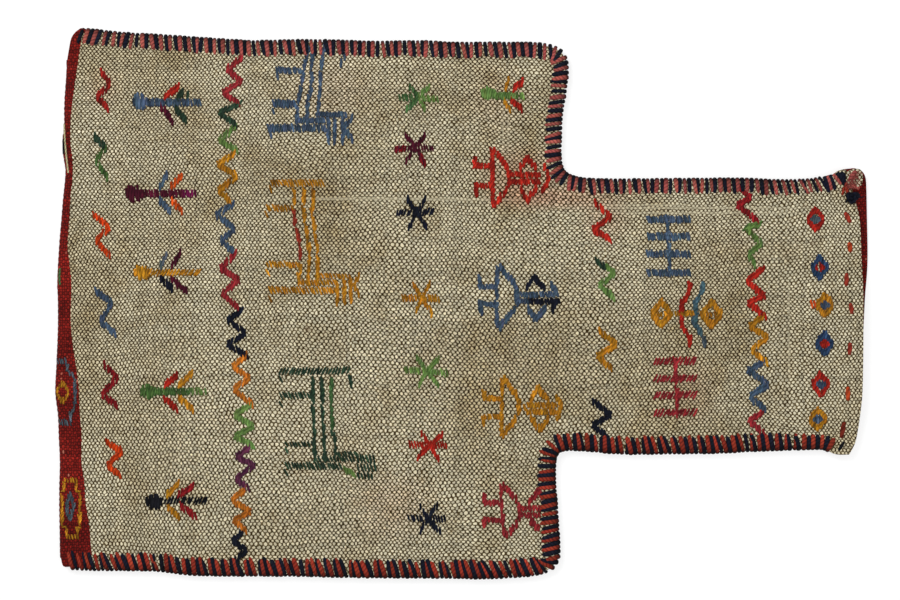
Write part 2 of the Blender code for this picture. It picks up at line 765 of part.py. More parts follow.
def animal(back, legs, top_bar):
    """Three lines of the body up from the head bar, legs to the left, head to the lower right."""
    bar = 1.35 * BOLD_LINE
    left, hoof = -0.041, -0.025
    strokes = [
        (bar, [(left, 0), (0.738, 0)]),
        (FINE_LINE, [(hoof, 0), (hoof, -0.101)]),
        (FINE_LINE, [(0.336, 0), (0.344, 0.269), (0.270, 0.6 * back), (0.287, back)]),
        (FINE_LINE, [(0.426, 0.074), (0.451, 0.336), (0.402, 0.6 * back), (0.402, back)]),
        (FINE_LINE, [(0.533, 0.141), (0.549, 0.336), (0.500, 0.6 * back), (0.508, back)]),
        (FINE_LINE, [(0.336, 0.074), (0.852, 0.074)]),
        (FINE_LINE, [(0.533, 0.141), (0.926, 0.141)]),
        (FINE_LINE, [(0.754, 0.000), (0.762, -0.141)]),
        (FINE_LINE, [(0.844, 0.074), (0.844, -0.141)]),
        (FINE_LINE, [(0.926, 0.148), (0.926, -0.135)]),
        (FINE_LINE, [(0.926, 0.027), (1.000, 0.101)]),
    ]
    for leg in legs:
        strokes.append((bar, [(left, leg), (0.311, leg)]))
        strokes.append((FINE_LINE, [(hoof, leg), (hoof, leg - 0.087)]))
    if top_bar:
        strokes.append((bar, [(left, back), (0.631, back)]))
        strokes.append((FINE_LINE, [(hoof, back), (hoof, back - 0.087)]))
    return sized(strokes, ANIMAL_LENGTH, ANIMAL_HEIGHT)


def cartouche():
    """Long frame on the red strip, notched at both ends."""
    frame = [(-0.5, -0.5), (-0.5, 0.5), (0.5, 0.5), (0.5, -0.5), (-0.5, -0.5)]
    strokes = [(STRIP_LINE, frame)]
    for side in (-1, 1):
        for level in (-0.31, 0.31):
            strokes.append((STRIP_LINE, [(0.5 * side, level), (0.3 * side, level)]))
    return sized(strokes, CARTOUCHE_WIDTH, CARTOUCHE_HEIGHT)


def add_motifs(maker):
    small_zigzags = (
        ("red", RED, 0.081, 0.089), ("green", GREEN, 0.077, 0.216), ("orange", ORANGE, 0.079, 0.363),
        ("blue", BLUE, 0.088, 0.509), ("maroon", MAROON, 0.096, 0.645), ("orange", ORANGE, 0.106, 0.782),
    )
    for index, (name, colour, along, down) in enumerate(small_zigzags, start=1):
        shape = zigzag(3, ZIGZAG_WIDTH, ZIGZAG_RUN, BOLD_LINE)
        maker.add(f"foot_zigzag_{index}", f"{name}_yarn", colour, on_body(along, down), shape)

    birds = (
        ("blue", BLUE, 0.156, 0.113), ("maroon", MAROON, 0.144, 0.284), ("gold", GOLD, 0.159, 0.433),
        ("green", GREEN, 0.172, 0.656), ("black", BLACK, 0.184, 0.861),
    )
    for index, (name, colour, along, down) in enumerate(birds, start=1):
        maker.add(f"bird_{index}", f"{name}_yarn", colour, on_body(along, down), bird(1.0))

    runs = 2 * int((BODY_WIDTH - 2 * OVERCAST_REACH) / BAND_ZIGZAG_RUN / 2)
    shape = zigzag(runs, BAND_ZIGZAG_WIDTH, BAND_ZIGZAG_RUN, BOLD_LINE)
    maker.add("body_zigzag", "gold_yarn", GOLD, on_body(0.350, 0.50), shape)

    animals = (
        ("blue", BLUE, 0.421, 0.161, 0.81, (0.23, 0.54), False),
        ("gold", GOLD, 0.423, 0.466, 1.00, (0.24, 0.77), True),
        ("dark_green", DARK_GREEN, 0.454, 0.795, 0.89, (0.20, 0.66), True),
    )
    for index, (name, colour, along, down, back, legs, top_bar) in enumerate(animals, start=1):
        shape = animal(back, legs, top_bar)
        maker.add(f"animal_{index}", f"{name}_yarn", colour, on_body(along, down), shape)

    stars = (
        ("green", GREEN, 0.717, 0.104), ("maroon", MAROON, 0.712, 0.198), ("navy", NAVY, 0.715, 0.319),
        ("gold", GOLD, 0.726, 0.480), ("green", GREEN, 0.733, 0.618), ("red", RED, 0.740, 0.758),
        ("navy", NAVY, 0.733, 0.895),
    )
    for index, (name, colour, along, down) in enumerate(stars, start=1):
        maker.add(f"star_{index}", f"{name}_yarn", colour, on_body(along, down), star())

    maker.add("small_bird", "green_yarn", GREEN, on_body(0.861, 0.097), bird(0.7))
    dolls = (
        ("red", RED, 0.865, 0.255), ("blue", BLUE, 0.877, 0.478),
        ("gold", GOLD, 0.885, 0.686), ("crimson", CRIMSON, 0.886, 0.879),
    )
    for index, (name, colour, along, down) in enumerate(dolls, start=1):
        maker.add(f"doll_{index}", f"{name}_yarn", colour, on_body(along, down), doll())

    neck_zigzags = (
        ("red", RED, 0.141, 0.147), ("green", GREEN, 0.154, 0.366),
        ("gold", GOLD, 0.157, 0.623), ("navy", NAVY, 0.139, 0.876),
    )
    for index, (name, colour, along, down) in enumerate(neck_zigzags, start=1):
        shape = zigzag(3, NECK_ZIGZAG_WIDTH, NECK_ZIGZAG_RUN, BOLD_LINE)
        maker.add(f"neck_zigzag_{index}", f"{name}_yarn", colour, on_neck(along, down), shape)

    maker.add("comb_1", "blue_yarn", BLUE, on_neck(0.355, 0.240), comb())
    maker.add("paired_lozenges", "gold_yarn", GOLD, on_neck(0.413, 0.495), paired_lozenges())
    maker.add("comb_2", "crimson_yarn", CRIMSON, on_neck(0.378, 0.761), comb())

    runs = 2 * int((NECK_WIDTH - 2 * OVERCAST_REACH) / BAND_ZIGZAG_RUN / 2)
    shape = zigzag(runs, NECK_BAND_WIDTH, BAND_ZIGZAG_RUN, BOLD_LINE)
    maker.add("mouth_zigzag", "red_yarn", RED, on_neck(0.637, 0.50), shape)

    diamonds = (
        ("red", RED, 0.832, 0.142), ("blue", BLUE, 0.845, 0.319), ("gold", GOLD, 0.861, 0.468),
        ("navy", NAVY, 0.860, 0.606), ("red", RED, 0.848, 0.746), ("gold", GOLD, 0.840, 0.880),
    )
    for index, (name, colour, along, down) in enumerate(diamonds, start=1):
        shape = ring(DIAMOND_WIDTH - FINE_LINE, DIAMOND_HEIGHT - FINE_LINE, 1.3 * FINE_LINE)
        shape += ring(0.25 * DIAMOND_WIDTH, 0.25 * DIAMOND_HEIGHT, FINE_LINE)
        maker.add(f"mouth_diamond_{index}", f"{name}_yarn", colour, on_neck(along, down), shape)

    hem = (
        (0.936, 0.136), (0.941, 0.243), (0.934, 0.366), (0.945, 0.471),
        (0.942, 0.621), (0.935, 0.783), (0.921, 0.905),
    )
    dash = sized([(0.9 * FINE_LINE, [(-0.11, 0.5), (0.11, -0.5)])], HEM_STITCH, HEM_STITCH)
    for index, (along, down) in enumerate(hem, start=1):
        maker.add(f"hem_stitch_{index}", "brick_yarn", BRICK, on_neck(along, down), dash)


def add_strip_motifs(maker):
    """Motifs of the back that come round the fold on the red strip."""
    bow = [(-0.14, 0.50), (0.41, 0.49), (0.45, 0.30), (0.91, 0.26), (1.00, -0.24)]
    bow += [(0.50, -0.29), (0.45, -0.47), (-0.14, -0.50)]
    point = [(-0.09, 0.16), (0.45, 0.0), (-0.09, -0.16)]
    place = on_body(0.0, 0.658)
    bracket = sized([(STRIP_LINE, bow)], BRACKET_REACH, BRACKET_HEIGHT)
    maker.add("strip_bracket", "grey_blue_yarn", BLUE, place, bracket)
    half_diamond = sized([(STRIP_LINE, point)], BRACKET_REACH, BRACKET_HEIGHT)
    maker.add("strip_half_diamond", "gold_yarn", GOLD, place, half_diamond)
    place = on_body(0.0155, 0.868)
    maker.add("strip_cartouche", "gold_yarn", GOLD, place, cartouche())
    inner = ring(0.35 * CARTOUCHE_WIDTH, 0.42 * CARTOUCHE_HEIGHT, 0.65 * STRIP_LINE)
    maker.add("strip_inner_diamond", "blue_yarn", BLUE, place, inner)


# Yarn ends that finish the overcast at the mouth
def rounded_lump(name, centre, half_sizes, turn, colour_name, colour, face):
    work = bmesh.new()
    bmesh.ops.create_uvsphere(work, u_segments=10, v_segments=6, radius=1.0)
    mesh = bpy.data.meshes.new(name)
    lowest = -half_sizes[2]
    reach = max(half_sizes[:2])
    ground = max(
        face.above(centre.x + dx * reach, centre.y + dy * reach)
        for dx in (-1, 0, 1) for dy in (-1, 0, 1)
    )
    for vertex in work.verts:
        x, y = vertex.co.x * half_sizes[0], vertex.co.y * half_sizes[1]
        z = max(vertex.co.z, -0.6) * half_sizes[2]
        vertex.co.x = centre.x + x * math.cos(turn) - y * math.sin(turn)
        vertex.co.y = centre.y + x * math.sin(turn) + y * math.cos(turn)
        vertex.co.z = ground + GAP - 0.6 * lowest + z
    bmesh.ops.remove_doubles(work, verts=work.verts, dist=MERGE)
    work.to_mesh(mesh)
    work.free()
    make_outward(mesh)
    return new_object(name, mesh, [material(colour_name, colour)])


def add_yarn_ends(face):
    corner = Vector((BODY_LENGTH + NECK_LENGTH, NECK_OFFSET + NECK_WIDTH / 2))
    knot_at = corner + Vector((-KNOT_WIDTH - MOUTH_STEP / 2, -1.35 * KNOT_WIDTH))
    half = KNOT_WIDTH / 2
    rounded_lump("overcast_knot", knot_at, (half, 0.9 * half, 0.62 * half), 0.0, "navy_yarn", NAVY, face)
    tail_at = knot_at + Vector((0.25 * KNOT_WIDTH, 0.45 * KNOT_WIDTH + 0.55 * TAIL_LENGTH + GAP))
    sizes = (TAIL_LENGTH / 2, 0.26 * TAIL_LENGTH, 0.16 * TAIL_LENGTH)
    rounded_lump("overcast_tail", tail_at, sizes, math.radians(64), "salmon_yarn", SALMON, face)


def put_at_origin():
    """Parent every piece to one empty that sets the middle of the underside at the origin."""
    pieces = [thing for thing in bpy.data.objects if thing.type == "MESH"]
    corners = [vertex.co for piece in pieces for vertex in piece.data.vertices]
    middle_x = (min(c.x for c in corners) + max(c.x for c in corners)) / 2
    middle_y = (min(c.y for c in corners) + max(c.y for c in corners)) / 2
    lowest = min(c.z for c in corners)
    origin = bpy.data.objects.new("bag_origin", None)
    bpy.context.scene.collection.objects.link(origin)
    origin.location = (-middle_x, -middle_y, -lowest)
    for piece in pieces:
        piece.parent = origin


def main():
    clear_scene()
    points = outline()
    cloth = add_cloth(points)
    face = ClothFace(cloth, points)
    upper = [material("navy_yarn", NAVY), material("salmon_yarn", SALMON)]
    lower = [material("navy_yarn", NAVY), material("brick_yarn", BRICK)]
    mouth_end = LOWER_OVERCAST_BARE
    add_overcast("lower_overcast", points, face, False, CORNER_RADIUS / 2, mouth_end, lower)
    corner = 1.8 * CORNER_RADIUS
    add_overcast("upper_overcast", points, face, True, UPPER_OVERCAST_BARE + CORNER_RADIUS, corner, upper)
    maker = MotifMaker(face, points)
    add_strip_motifs(maker)
    add_motifs(maker)
    add_yarn_ends(face)
    put_at_origin()


main()
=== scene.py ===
"""Salt bag with a neck, flat-woven in one piece, laid down empty with its patterned face up."""
import math

import bpy
import numpy as np
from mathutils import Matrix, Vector
from mathutils.geometry import delaunay_2d_cdt
from mathutils.kdtree import KDTree


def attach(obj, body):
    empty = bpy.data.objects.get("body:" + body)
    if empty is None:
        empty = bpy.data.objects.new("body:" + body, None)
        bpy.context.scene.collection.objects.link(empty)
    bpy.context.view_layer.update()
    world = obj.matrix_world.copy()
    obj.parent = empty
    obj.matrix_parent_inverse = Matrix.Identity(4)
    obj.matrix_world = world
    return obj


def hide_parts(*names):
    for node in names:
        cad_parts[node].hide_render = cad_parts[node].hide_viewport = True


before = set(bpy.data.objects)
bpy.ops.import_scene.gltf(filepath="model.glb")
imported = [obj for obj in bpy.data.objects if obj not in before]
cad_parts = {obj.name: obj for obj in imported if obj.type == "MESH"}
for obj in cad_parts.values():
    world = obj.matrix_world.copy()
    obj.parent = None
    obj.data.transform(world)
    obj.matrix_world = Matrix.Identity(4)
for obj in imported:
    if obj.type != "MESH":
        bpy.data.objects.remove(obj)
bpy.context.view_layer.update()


# Red back
# One wool textile makes the whole bag. Its back half is weft-faced in madder red, and turns
# round the fold at the foot, where it shows on the face as a narrow strip.
SQUARE = 0.0007
CHART_MIDDLE = np.array((461.9, 304.8))
CLOTH_THICKNESS = 0.0018
WARP_PITCH = 0.00159
PICK_PITCH = 0.00193
BEAD_RISE = 0.00022
FOLD_TURN = 0.011
LEAST_BULGE, MORE_BULGE = 0.0026, 0.0016
SEAM_LOFT, EMPTY_LOFT = 0.0014, 0.0048
RISE_LENGTH = 0.040
SEAM_HEIGHT, SEAM_LENGTH = 0.0017, 0.028
WRAP_BUILD = 2.7
EDGE_STEP, HALF_STEP = 0.0016, 0.0008


def laid(*squares):
    """Squares of the pattern's chart, counted right and down, as places on the bag in metres."""
    return (np.array(squares, float) - CHART_MIDDLE) * (SQUARE, -SQUARE)


def smooth(share):
    share = np.clip(share, 0, 1)
    return share * share * (3 - 2 * share)


def run_through(places, step):
    """A smooth line through the places, with a point at every step along it."""
    ends = np.vstack([2 * places[0] - places[1], places, 2 * places[-1] - places[-2]])
    share = np.linspace(0, 1, 12, endpoint=False)[:, None]
    fine = []
    for a, b, c, d in zip(ends, ends[1:], ends[2:], ends[3:]):
        bend = (2 * a - 5 * b + 4 * c - d) * share**2 + (3 * b - a - 3 * c + d) * share**3
        fine.append(b + ((c - a) * share + bend) / 2)
    fine = np.vstack([*fine, places[-1]])
    travel = np.r_[0, np.cumsum(np.linalg.norm(np.diff(fine, axis=0), axis=1))]
    at = np.linspace(0, travel[-1], max(2, round(travel[-1] / step)) + 1)
    return np.stack([np.interp(at, travel, fine[:, k]) for k in (0, 1)], axis=1)


def inwards(line):
    """The side towards the cloth of a line that runs clockwise round it."""
    along = np.gradient(line, axis=0)
    along /= np.linalg.norm(along, axis=1)[:, None]
    return np.stack([along[:, 1], -along[:, 0]], axis=1)


upper_edge = run_through(laid(
    (66, 60), (69, 49), (72, 37), (79, 29.5), (87, 28.5), (129, 32.5), (164, 34.5), (198, 37), (238, 39.6),
    (252, 40.4), (304, 39.3), (344, 40), (373, 41), (425, 40.5), (450, 42), (507, 42), (545, 43.2),
    (562.5, 50), (567.6, 61), (568.2, 74), (567, 86), (565, 100), (562.5, 115), (561.4, 143), (561.6, 160),
    (565.5, 171), (576, 176.5), (593, 178.5), (622, 178.8), (737, 178), (774, 179.4), (809, 178.5),
    (826, 174.5), (843, 169.3), (855, 168),
), EDGE_STEP)
lower_edge = run_through(laid(
    (849, 454.6), (837.5, 454.6), (829, 452), (821, 449.4), (794, 450), (754, 451.5), (717, 453.4),
    (680, 453.8), (636, 454.4), (611, 453.5), (588, 451.2), (570, 450.6), (560.5, 452), (556.6, 458),
    (555.6, 472), (556, 487), (557.6, 507), (559, 530), (559.8, 547), (558.8, 560), (551, 571), (532, 576),
    (507, 578), (479, 579), (450, 578.4), (344, 577.5), (301, 576.4), (215, 576), (187, 575), (158, 571.6),
    (129, 570.6), (100, 571), (74, 570), (64, 567), (59.7, 558),
), EDGE_STEP)
fold_edge = run_through(laid(
    (59.7, 558), (58.8, 515), (58.8, 487), (59.4, 461), (58.3, 438), (57.4, 415), (54.8, 392), (56, 363),
    (57.4, 329), (57.4, 300), (56.8, 281), (58.8, 244), (61, 218), (62.6, 198), (65, 172), (63, 157),
    (61.9, 141), (63.5, 126), (63.9, 100), (66, 72), (66, 60),
), EDGE_STEP)
back_mouth = run_through(laid(
    (855, 168), (861.8, 170.2), (866.2, 177), (867.4, 190), (868, 212), (868.6, 262), (866, 300),
    (863.3, 357), (861.4, 386), (858.6, 409), (856, 430), (853.4, 443.5), (849, 454.6),
), EDGE_STEP)
face_mouth = run_through(laid(
    (846, 171), (850, 181), (853.6, 197), (857.2, 211), (859.4, 226.5), (860.6, 258), (862.2, 287),
    (862.6, 330), (861.9, 386), (860.2, 409), (857.8, 429), (854.7, 443.5), (849, 454.6),
), EDGE_STEP)
red_end = run_through(laid(
    (86, 30.5), (82, 36), (81, 43), (79, 57), (76, 77), (73, 100), (71, 123), (71, 143), (73, 161), (73, 178),
    (71, 195), (70, 218), (68, 244), (70, 264), (72, 287), (71, 317), (73, 343), (76, 363), (79, 386),
    (80, 409), (82, 435), (82, 461), (85, 484), (86, 501), (89.5, 524), (91, 544), (92, 556), (92.6, 566),
), EDGE_STEP)

# The cloth ends inside its wraps, which stand out all round it
bare_foot, bare_mouth = laid((84, 0), (840, 0))[:, 0]
reach = smooth((upper_edge[:, 0] - bare_foot) / 0.007) * smooth((bare_mouth - upper_edge[:, 0]) / 0.007)
upper_cloth = upper_edge + inwards(upper_edge) * (reach * WRAP_BUILD * SQUARE)[:, None]
bare_foot, bare_mouth = laid((62, 0), (833, 0))[:, 0]
reach = smooth((lower_edge[:, 0] - bare_foot) / 0.005) * smooth((bare_mouth - lower_edge[:, 0]) / 0.007)
lower_cloth = lower_edge + inwards(lower_edge) * (reach * WRAP_BUILD * SQUARE)[:, None]


def tree_of(places):
    tree = KDTree(len(places))
    for index, (x, y) in enumerate(places):
        tree.insert((x, y, 0), index)
    tree.balance()
    return tree


sewn_tree = tree_of(np.vstack([upper_cloth, lower_cloth]))


def bulge_at(y):
    """How far the fold swells out past the line where the cloth starts to turn."""
    beside = np.minimum(y - fold_edge[0, 1], fold_edge[-1, 1] - y)
    return LEAST_BULGE + MORE_BULGE * smooth(beside / RISE_LENGTH)


def fold_at(y):
    return np.interp(y, fold_edge[:, 1], fold_edge[:, 0]) + bulge_at(y)


def wander(x, y, length, seed):
    """Slow waves over the cloth, about -1 to 1, from a fixed seed."""
    rng = np.random.default_rng(seed)
    total = np.zeros_like(x)
    for _ in range(7):
        turn, phase = rng.uniform(0, math.tau, 2)
        wave = length * rng.uniform(0.6, 1.7)
        total += np.sin((x * math.cos(turn) + y * math.sin(turn)) * math.tau / wave + phase)
    return total / 3.2


def lie(x, y):
    """Heights at which the back's two sides and the face's two sides lie."""
    beside = np.array([sewn_tree.find((a, b, 0))[2] for a, b in zip(x, y)])
    beyond_foot = smooth((x - fold_at(y)) / RISE_LENGTH)
    closed = smooth(beside / RISE_LENGTH)
    opening = 0.55 + 0.45 * beyond_foot
    ripple = (0.0005 * np.sin(x * 37 + 0.8) + 0.0004 * wander(x, y, 0.07, 4)) * closed * opening
    loft = SEAM_LOFT + EMPTY_LOFT * closed * opening
    low = SEAM_HEIGHT * (1 - smooth(beside / SEAM_LENGTH))
    low_inside = low + CLOTH_THICKNESS
    high_inside = low_inside + loft + ripple
    return low, low_inside, high_inside, high_inside + CLOTH_THICKNESS


def unrolled(line, strip):
    """Places on the back or on its strip in the flat textile: along it from the fold, and across."""
    beyond = line[:, 0] - fold_at(line[:, 1])
    return np.stack([FOLD_TURN + beyond if strip else -beyond, line[:, 1]], axis=1)


def rolled(flat, rise):
    """The other way round, with the side of the cloth that is rise away from its middle."""
    along, y = flat[:, 0], flat[:, 1]
    foot = fold_at(y)
    x = foot + np.where(along < 0, -along, np.maximum(0, along - FOLD_TURN))
    low, low_inside, high_inside, top = lie(x, y)
    under, over = (low + low_inside) / 2 + 0.0003, (high_inside + top) / 2
    turn = np.clip(along / FOLD_TURN, 0, 1) * math.pi
    half = (over - under) / 2 + rise
    height = (over + under) / 2 - half * np.cos(turn)
    swell = bulge_at(y) + rise - CLOTH_THICKNESS / 2
    x = np.where((along > 0) & (along < FOLD_TURN), foot - swell * np.sin(turn), x)
    return np.stack([x, y, height], axis=1)


def upper_side(x, y):
    """Height of the bag's upper side, which rolls down at the fold."""
    low, _, _, top = lie(x, y)
    past = np.clip((fold_at(y) - x) / bulge_at(y), 0, 0.98)
    return (low + top) / 2 + (top - low) / 2 * np.sqrt(1 - past**2)


def lattice(warp_number, pick_number, ring):
    """A point at every crossing of the yarns inside a ring of places, and whether warp lies on top."""
    low, high = ring.min(axis=0), ring.max(axis=0)
    corners = np.array([(a, b) for a in (low[0], high[0]) for b in (low[1], high[1])])
    warps = np.sort(warp_number(*corners.T))
    picks = np.sort(pick_number(*corners.T))
    counts = [np.arange(numbers[0] // 1 - 3, numbers[-1] + 3) for numbers in (warps, picks)]
    i, j = (grid.ravel() for grid in np.meshgrid(*counts))
    x = low[0] + (i + 0.5 - warps[0]) * WARP_PITCH
    y = low[1] + (j + 0.5 - picks[0]) * PICK_PITCH
    for _ in range(8):
        x += (i + 0.5 - warp_number(x, y)) * WARP_PITCH
        y += (j + 0.5 - pick_number(x, y)) * PICK_PITCH
    inside = np.zeros(len(x), bool)
    for (ax, ay), (bx, by) in zip(ring, np.roll(ring, -1, axis=0)):
        if ay != by:
            inside ^= ((ay > y) != (by > y)) & (x < ax + (bx - ax) * (y - ay) / (by - ay))
    tree = tree_of(ring)
    for k in np.flatnonzero(inside):
        inside[k] = tree.find((x[k], y[k], 0))[2] > WARP_PITCH / 2
    return np.stack([x, y], axis=1)[inside], ((i + j) % 2 == 0)[inside]


def triangles_in(ring, within):
    """Triangles between a ring of places and the places within it, numbered in that order."""
    places = [Vector(p) for p in np.vstack([ring, within]).tolist()]
    found = delaunay_2d_cdt(places, [], [list(range(len(ring)))], 0, 1e-7, True)
    source = [origins[0] for origins in found[3]]
    return [tuple(source[k] for k in face) for face, origins in zip(found[2], found[5]) if origins]


def placed(name, data):
    piece = bpy.data.objects.new(name, data)
    bpy.context.scene.collection.objects.link(piece)
    return piece


def woven_sheet(name, ring, warp_number, pick_number, lay, seed):
    """One closed cloth with a bead at each crossing outside, a plainer inside, and the yarns' count."""
    rng = np.random.default_rng(seed)
    crossings, on_top = lattice(warp_number, pick_number, ring)
    bead = np.where(on_top, 1.0, -1.0) * rng.uniform(0.55, 1.0, len(on_top)) * BEAD_RISE
    coarse = crossings[rng.permutation(len(crossings))[: len(crossings) // 60]]
    count = len(ring)
    outside = lay(np.vstack([ring, crossings]), np.r_[np.zeros(count), bead] + CLOTH_THICKNESS / 2)
    inside = lay(np.vstack([ring, coarse]), np.full(count + len(coarse), -CLOTH_THICKNESS / 2))
    faces = triangles_in(ring, crossings)
    directed = {(face[k], face[k - 2]) for face in faces for k in range(3)}
    rim = [(a, b) for a, b in directed if (b, a) not in directed]
    shift = len(outside)
    faces += [(c + shift, b + shift, a + shift) for a, b, c in triangles_in(ring, coarse)]
    faces += [(b, a, a + shift, b + shift) for a, b in rim]
    mesh = bpy.data.meshes.new(name)
    mesh.from_pydata(np.vstack([outside, inside]).tolist(), [], faces)
    flat = np.vstack([ring, crossings, ring, coarse])
    numbers = np.stack([warp_number(flat[:, 0], flat[:, 1]), pick_number(flat[:, 0], flat[:, 1])], axis=1)
    corner = np.empty(len(mesh.loops), np.int32)
    mesh.loops.foreach_get("vertex_index", corner)
    mesh.uv_layers.new(name="yarns").data.foreach_set("uv", numbers[corner].ravel())
    mesh.shade_smooth()
    mesh.set_sharp_from_angle(angle=math.radians(70))
    return placed(name, mesh)


class Shade:
    """One socket of a material, so that its maths reads as sums."""

    def __init__(self, tree, socket=None):
        self.tree = tree
        self.socket = socket

    def node(self, kind, settings, sockets, output=0):
        made = self.tree.nodes.new(kind)
        for setting, value in settings.items():
            setattr(made, setting, value)
        for socket, value in sockets.items():
            if isinstance(value, Shade):
                self.tree.links.new(value.socket, made.inputs[socket])
            else:
                made.inputs[socket].default_value = value
        return Shade(self.tree, made.outputs[output] if made.outputs else None)

    def other(self, output):
        """Another output of the same node."""
        return Shade(self.tree, self.socket.node.outputs[output])

    def maths(self, operation, *values):
        return self.node("ShaderNodeMath", {"operation": operation}, dict(enumerate(values)))

    def vectors(self, operation, *values, output=0):
        return self.node("ShaderNodeVectorMath", {"operation": operation}, dict(enumerate(values)), output)

    def __add__(self, other):
        return self.maths("ADD", self, other)

    def __sub__(self, other):
        return self.maths("SUBTRACT", self, other)

    def __rsub__(self, other):
        return self.maths("SUBTRACT", other, self)

    def __mul__(self, other):
        return self.maths("MULTIPLY", self, other)

    def __pow__(self, other):
        return self.maths("POWER", self, other)

    __radd__ = __add__
    __rmul__ = __mul__

    def wave(self):
        return self.maths("SINE", self)

    def chance(self):
        """A number by chance for each whole number."""
        sockets = {"W": self.maths("FLOOR", self)}
        return self.node("ShaderNodeTexWhiteNoise", {"noise_dimensions": "1D"}, sockets)

    def rising(self, low, high):
        """0 below low, 1 above high and smooth between them."""
        sockets = {"Value": self, "From Min": low, "From Max": high}
        return self.node("ShaderNodeMapRange", {"interpolation_type": "SMOOTHSTEP"}, sockets)

    def blend(self, first, second):
        """first where this is 0 and second where it is 1."""
        return self.node("ShaderNodeMix", {"data_type": "RGBA"}, {0: self, 6: first, 7: second}, 2)

    def lit(self, brightness):
        """This colour, brighter or darker."""
        return self.node("ShaderNodeHueSaturation", {}, {"Color": self, "Value": brightness})


def dye(code):
    """A colour as a dyer's card gives it, turned to plain light."""
    parts = [int(code[k : k + 2], 16) / 255 for k in (0, 2, 4)]
    return (*(p / 12.92 if p < 0.04045 else ((p + 0.055) / 1.055) ** 2.4 for p in parts), 1.0)


def new_material(name):
    material = bpy.data.materials.new(name)
    material.use_nodes = True
    return material, Shade(material.node_tree), material.node_tree.nodes["Principled BSDF"]


def finish_wool(start, shader, colour, height, depth, roughness):
    """Dull wool: its colour and its relief."""
    sockets = {"Height": height, "Distance": depth, "Strength": 1.0}
    normal = start.node("ShaderNodeBump", {}, sockets)
    start.tree.links.new(colour.socket, shader.inputs["Base Color"])
    start.tree.links.new(normal.socket, shader.inputs["Normal"])
    shader.inputs["Roughness"].default_value = roughness
    shader.inputs["Specular IOR Level"].default_value = 0.12


def place_noise(start, scale, detail, roughness=0.5):
    spot = start.node("ShaderNodeTexCoord", {}, {}, "Object")
    sockets = {"Vector": spot, "Scale": scale, "Detail": detail, "Roughness": roughness}
    return start.node("ShaderNodeTexNoise", {}, sockets)


def yarn_beads(start):
    """The yarns' count, the weave's beads (warp over 1, pick over -1, between 0) and a chance for each."""
    count = start.node("ShaderNodeUVMap", {"uv_map": "yarns"}, {})
    uneven = place_noise(start, 290.0, 1.0).other("Color")
    uneven = start.vectors("SUBTRACT", uneven, (0.5, 0.5, 0.5))
    uneven = start.vectors("MULTIPLY", uneven, (1.35, 1.1, 0.0))
    count = start.vectors("ADD", count, uneven)
    along = start.node("ShaderNodeSeparateXYZ", {}, {0: count})
    across = along.other(1)
    bead = (along * math.pi).wave() * (across * math.pi).wave()
    square = {"Vector": start.vectors("FLOOR", count)}
    return along, across, bead, start.node("ShaderNodeTexWhiteNoise", {"noise_dimensions": "2D"}, square)


red_cloth, start, shader = new_material("red_weft_faced_wool")
along, across, bead, chance = yarn_beads(start)
patch = place_noise(start, 22.0, 4.0)
red = patch.rising(0.35, 0.65).blend(dye("741510"), dye("952219"))
# dark is painted shade: the red yarn darkened in the grooves between the beads, and partly on the sunk picks.
dark = patch.rising(0.3, 0.7).blend(dye("360806"), dye("4b0d0a"))
colour = bead.rising(-0.15, 0.75).blend(dark, red)
colour = ((0.0 - bead).rising(0.25, 0.9) * 0.6).blend(colour, red)
speck = chance.rising(0.95, 0.96) * bead.rising(0.1, 0.5) * patch.rising(0.46, 0.6)
colour = (speck * 0.45).blend(colour, dye("b98a72"))
colour = colour.lit(0.52 + chance * 0.56 + across.chance() * 0.44)
fibre = place_noise(start, 900.0, 3.0, 0.6)
finish_wool(start, shader, colour, bead.maths("ABSOLUTE", bead) + fibre * 0.5, 0.00022, 0.88)

turn_steps = np.linspace(0, FOLD_TURN, 9)[1:-1, None]
low_turn = np.hstack([turn_steps, np.full_like(turn_steps, fold_edge[0, 1])])
high_turn = np.hstack([turn_steps[::-1], np.full_like(turn_steps, fold_edge[-1, 1])])
strip_foot = lower_cloth[lower_cloth[:, 0] < red_end[-1, 0] - HALF_STEP]
strip_foot = strip_foot[strip_foot[:, 1] < 0][::-1]
strip_top = upper_cloth[upper_cloth[:, 0] < red_end[0, 0] - HALF_STEP][::-1]
back_ring = np.vstack([
    unrolled(upper_cloth, False), unrolled(back_mouth[1:-1], False), unrolled(lower_cloth, False), low_turn,
    unrolled(strip_foot, True), unrolled(red_end[::-1], True), unrolled(strip_top, True), high_turn,
])


def back_warp(along, y):
    return along / WARP_PITCH + 0.5 * wander(along, y, 0.06, 11)


def back_pick(along, y):
    return y / PICK_PITCH + 0.5 * wander(along, y, 0.09, 12)


red_back = woven_sheet("red_back", back_ring, back_warp, back_pick, rolled, 13)
red_back.data.materials.append(red_cloth)
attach(red_back, "root")
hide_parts("folded_cloth")


# Cream face
# The other half of the same textile: balanced plain weave of cream warp and brown weft, which
# lies over the back from the red strip to the hem of the mouth.
def face_warp(x, y):
    closer = np.maximum(x - 0.10, 0) ** 2 * 0.45 - np.maximum(-0.043 - x, 0) ** 2 * 0.42
    return (x + closer) / WARP_PITCH + 0.55 * wander(x, y, 0.045, 21) + 1.6 * wander(x, y, 0.2, 22)


def face_pick(x, y):
    closer = 0.00118
    count = -np.log(PICK_PITCH - closer * y) / closer
    return count + 0.6 * wander(x, y, 0.05, 23) + 2.2 * wander(x, y, 0.25, 24)


def on_face(flat, rise):
    x, y = flat[:, 0], flat[:, 1]
    high_inside, top = lie(x, y)[2:]
    return np.stack([x, y, (high_inside + top) / 2 + rise], axis=1)


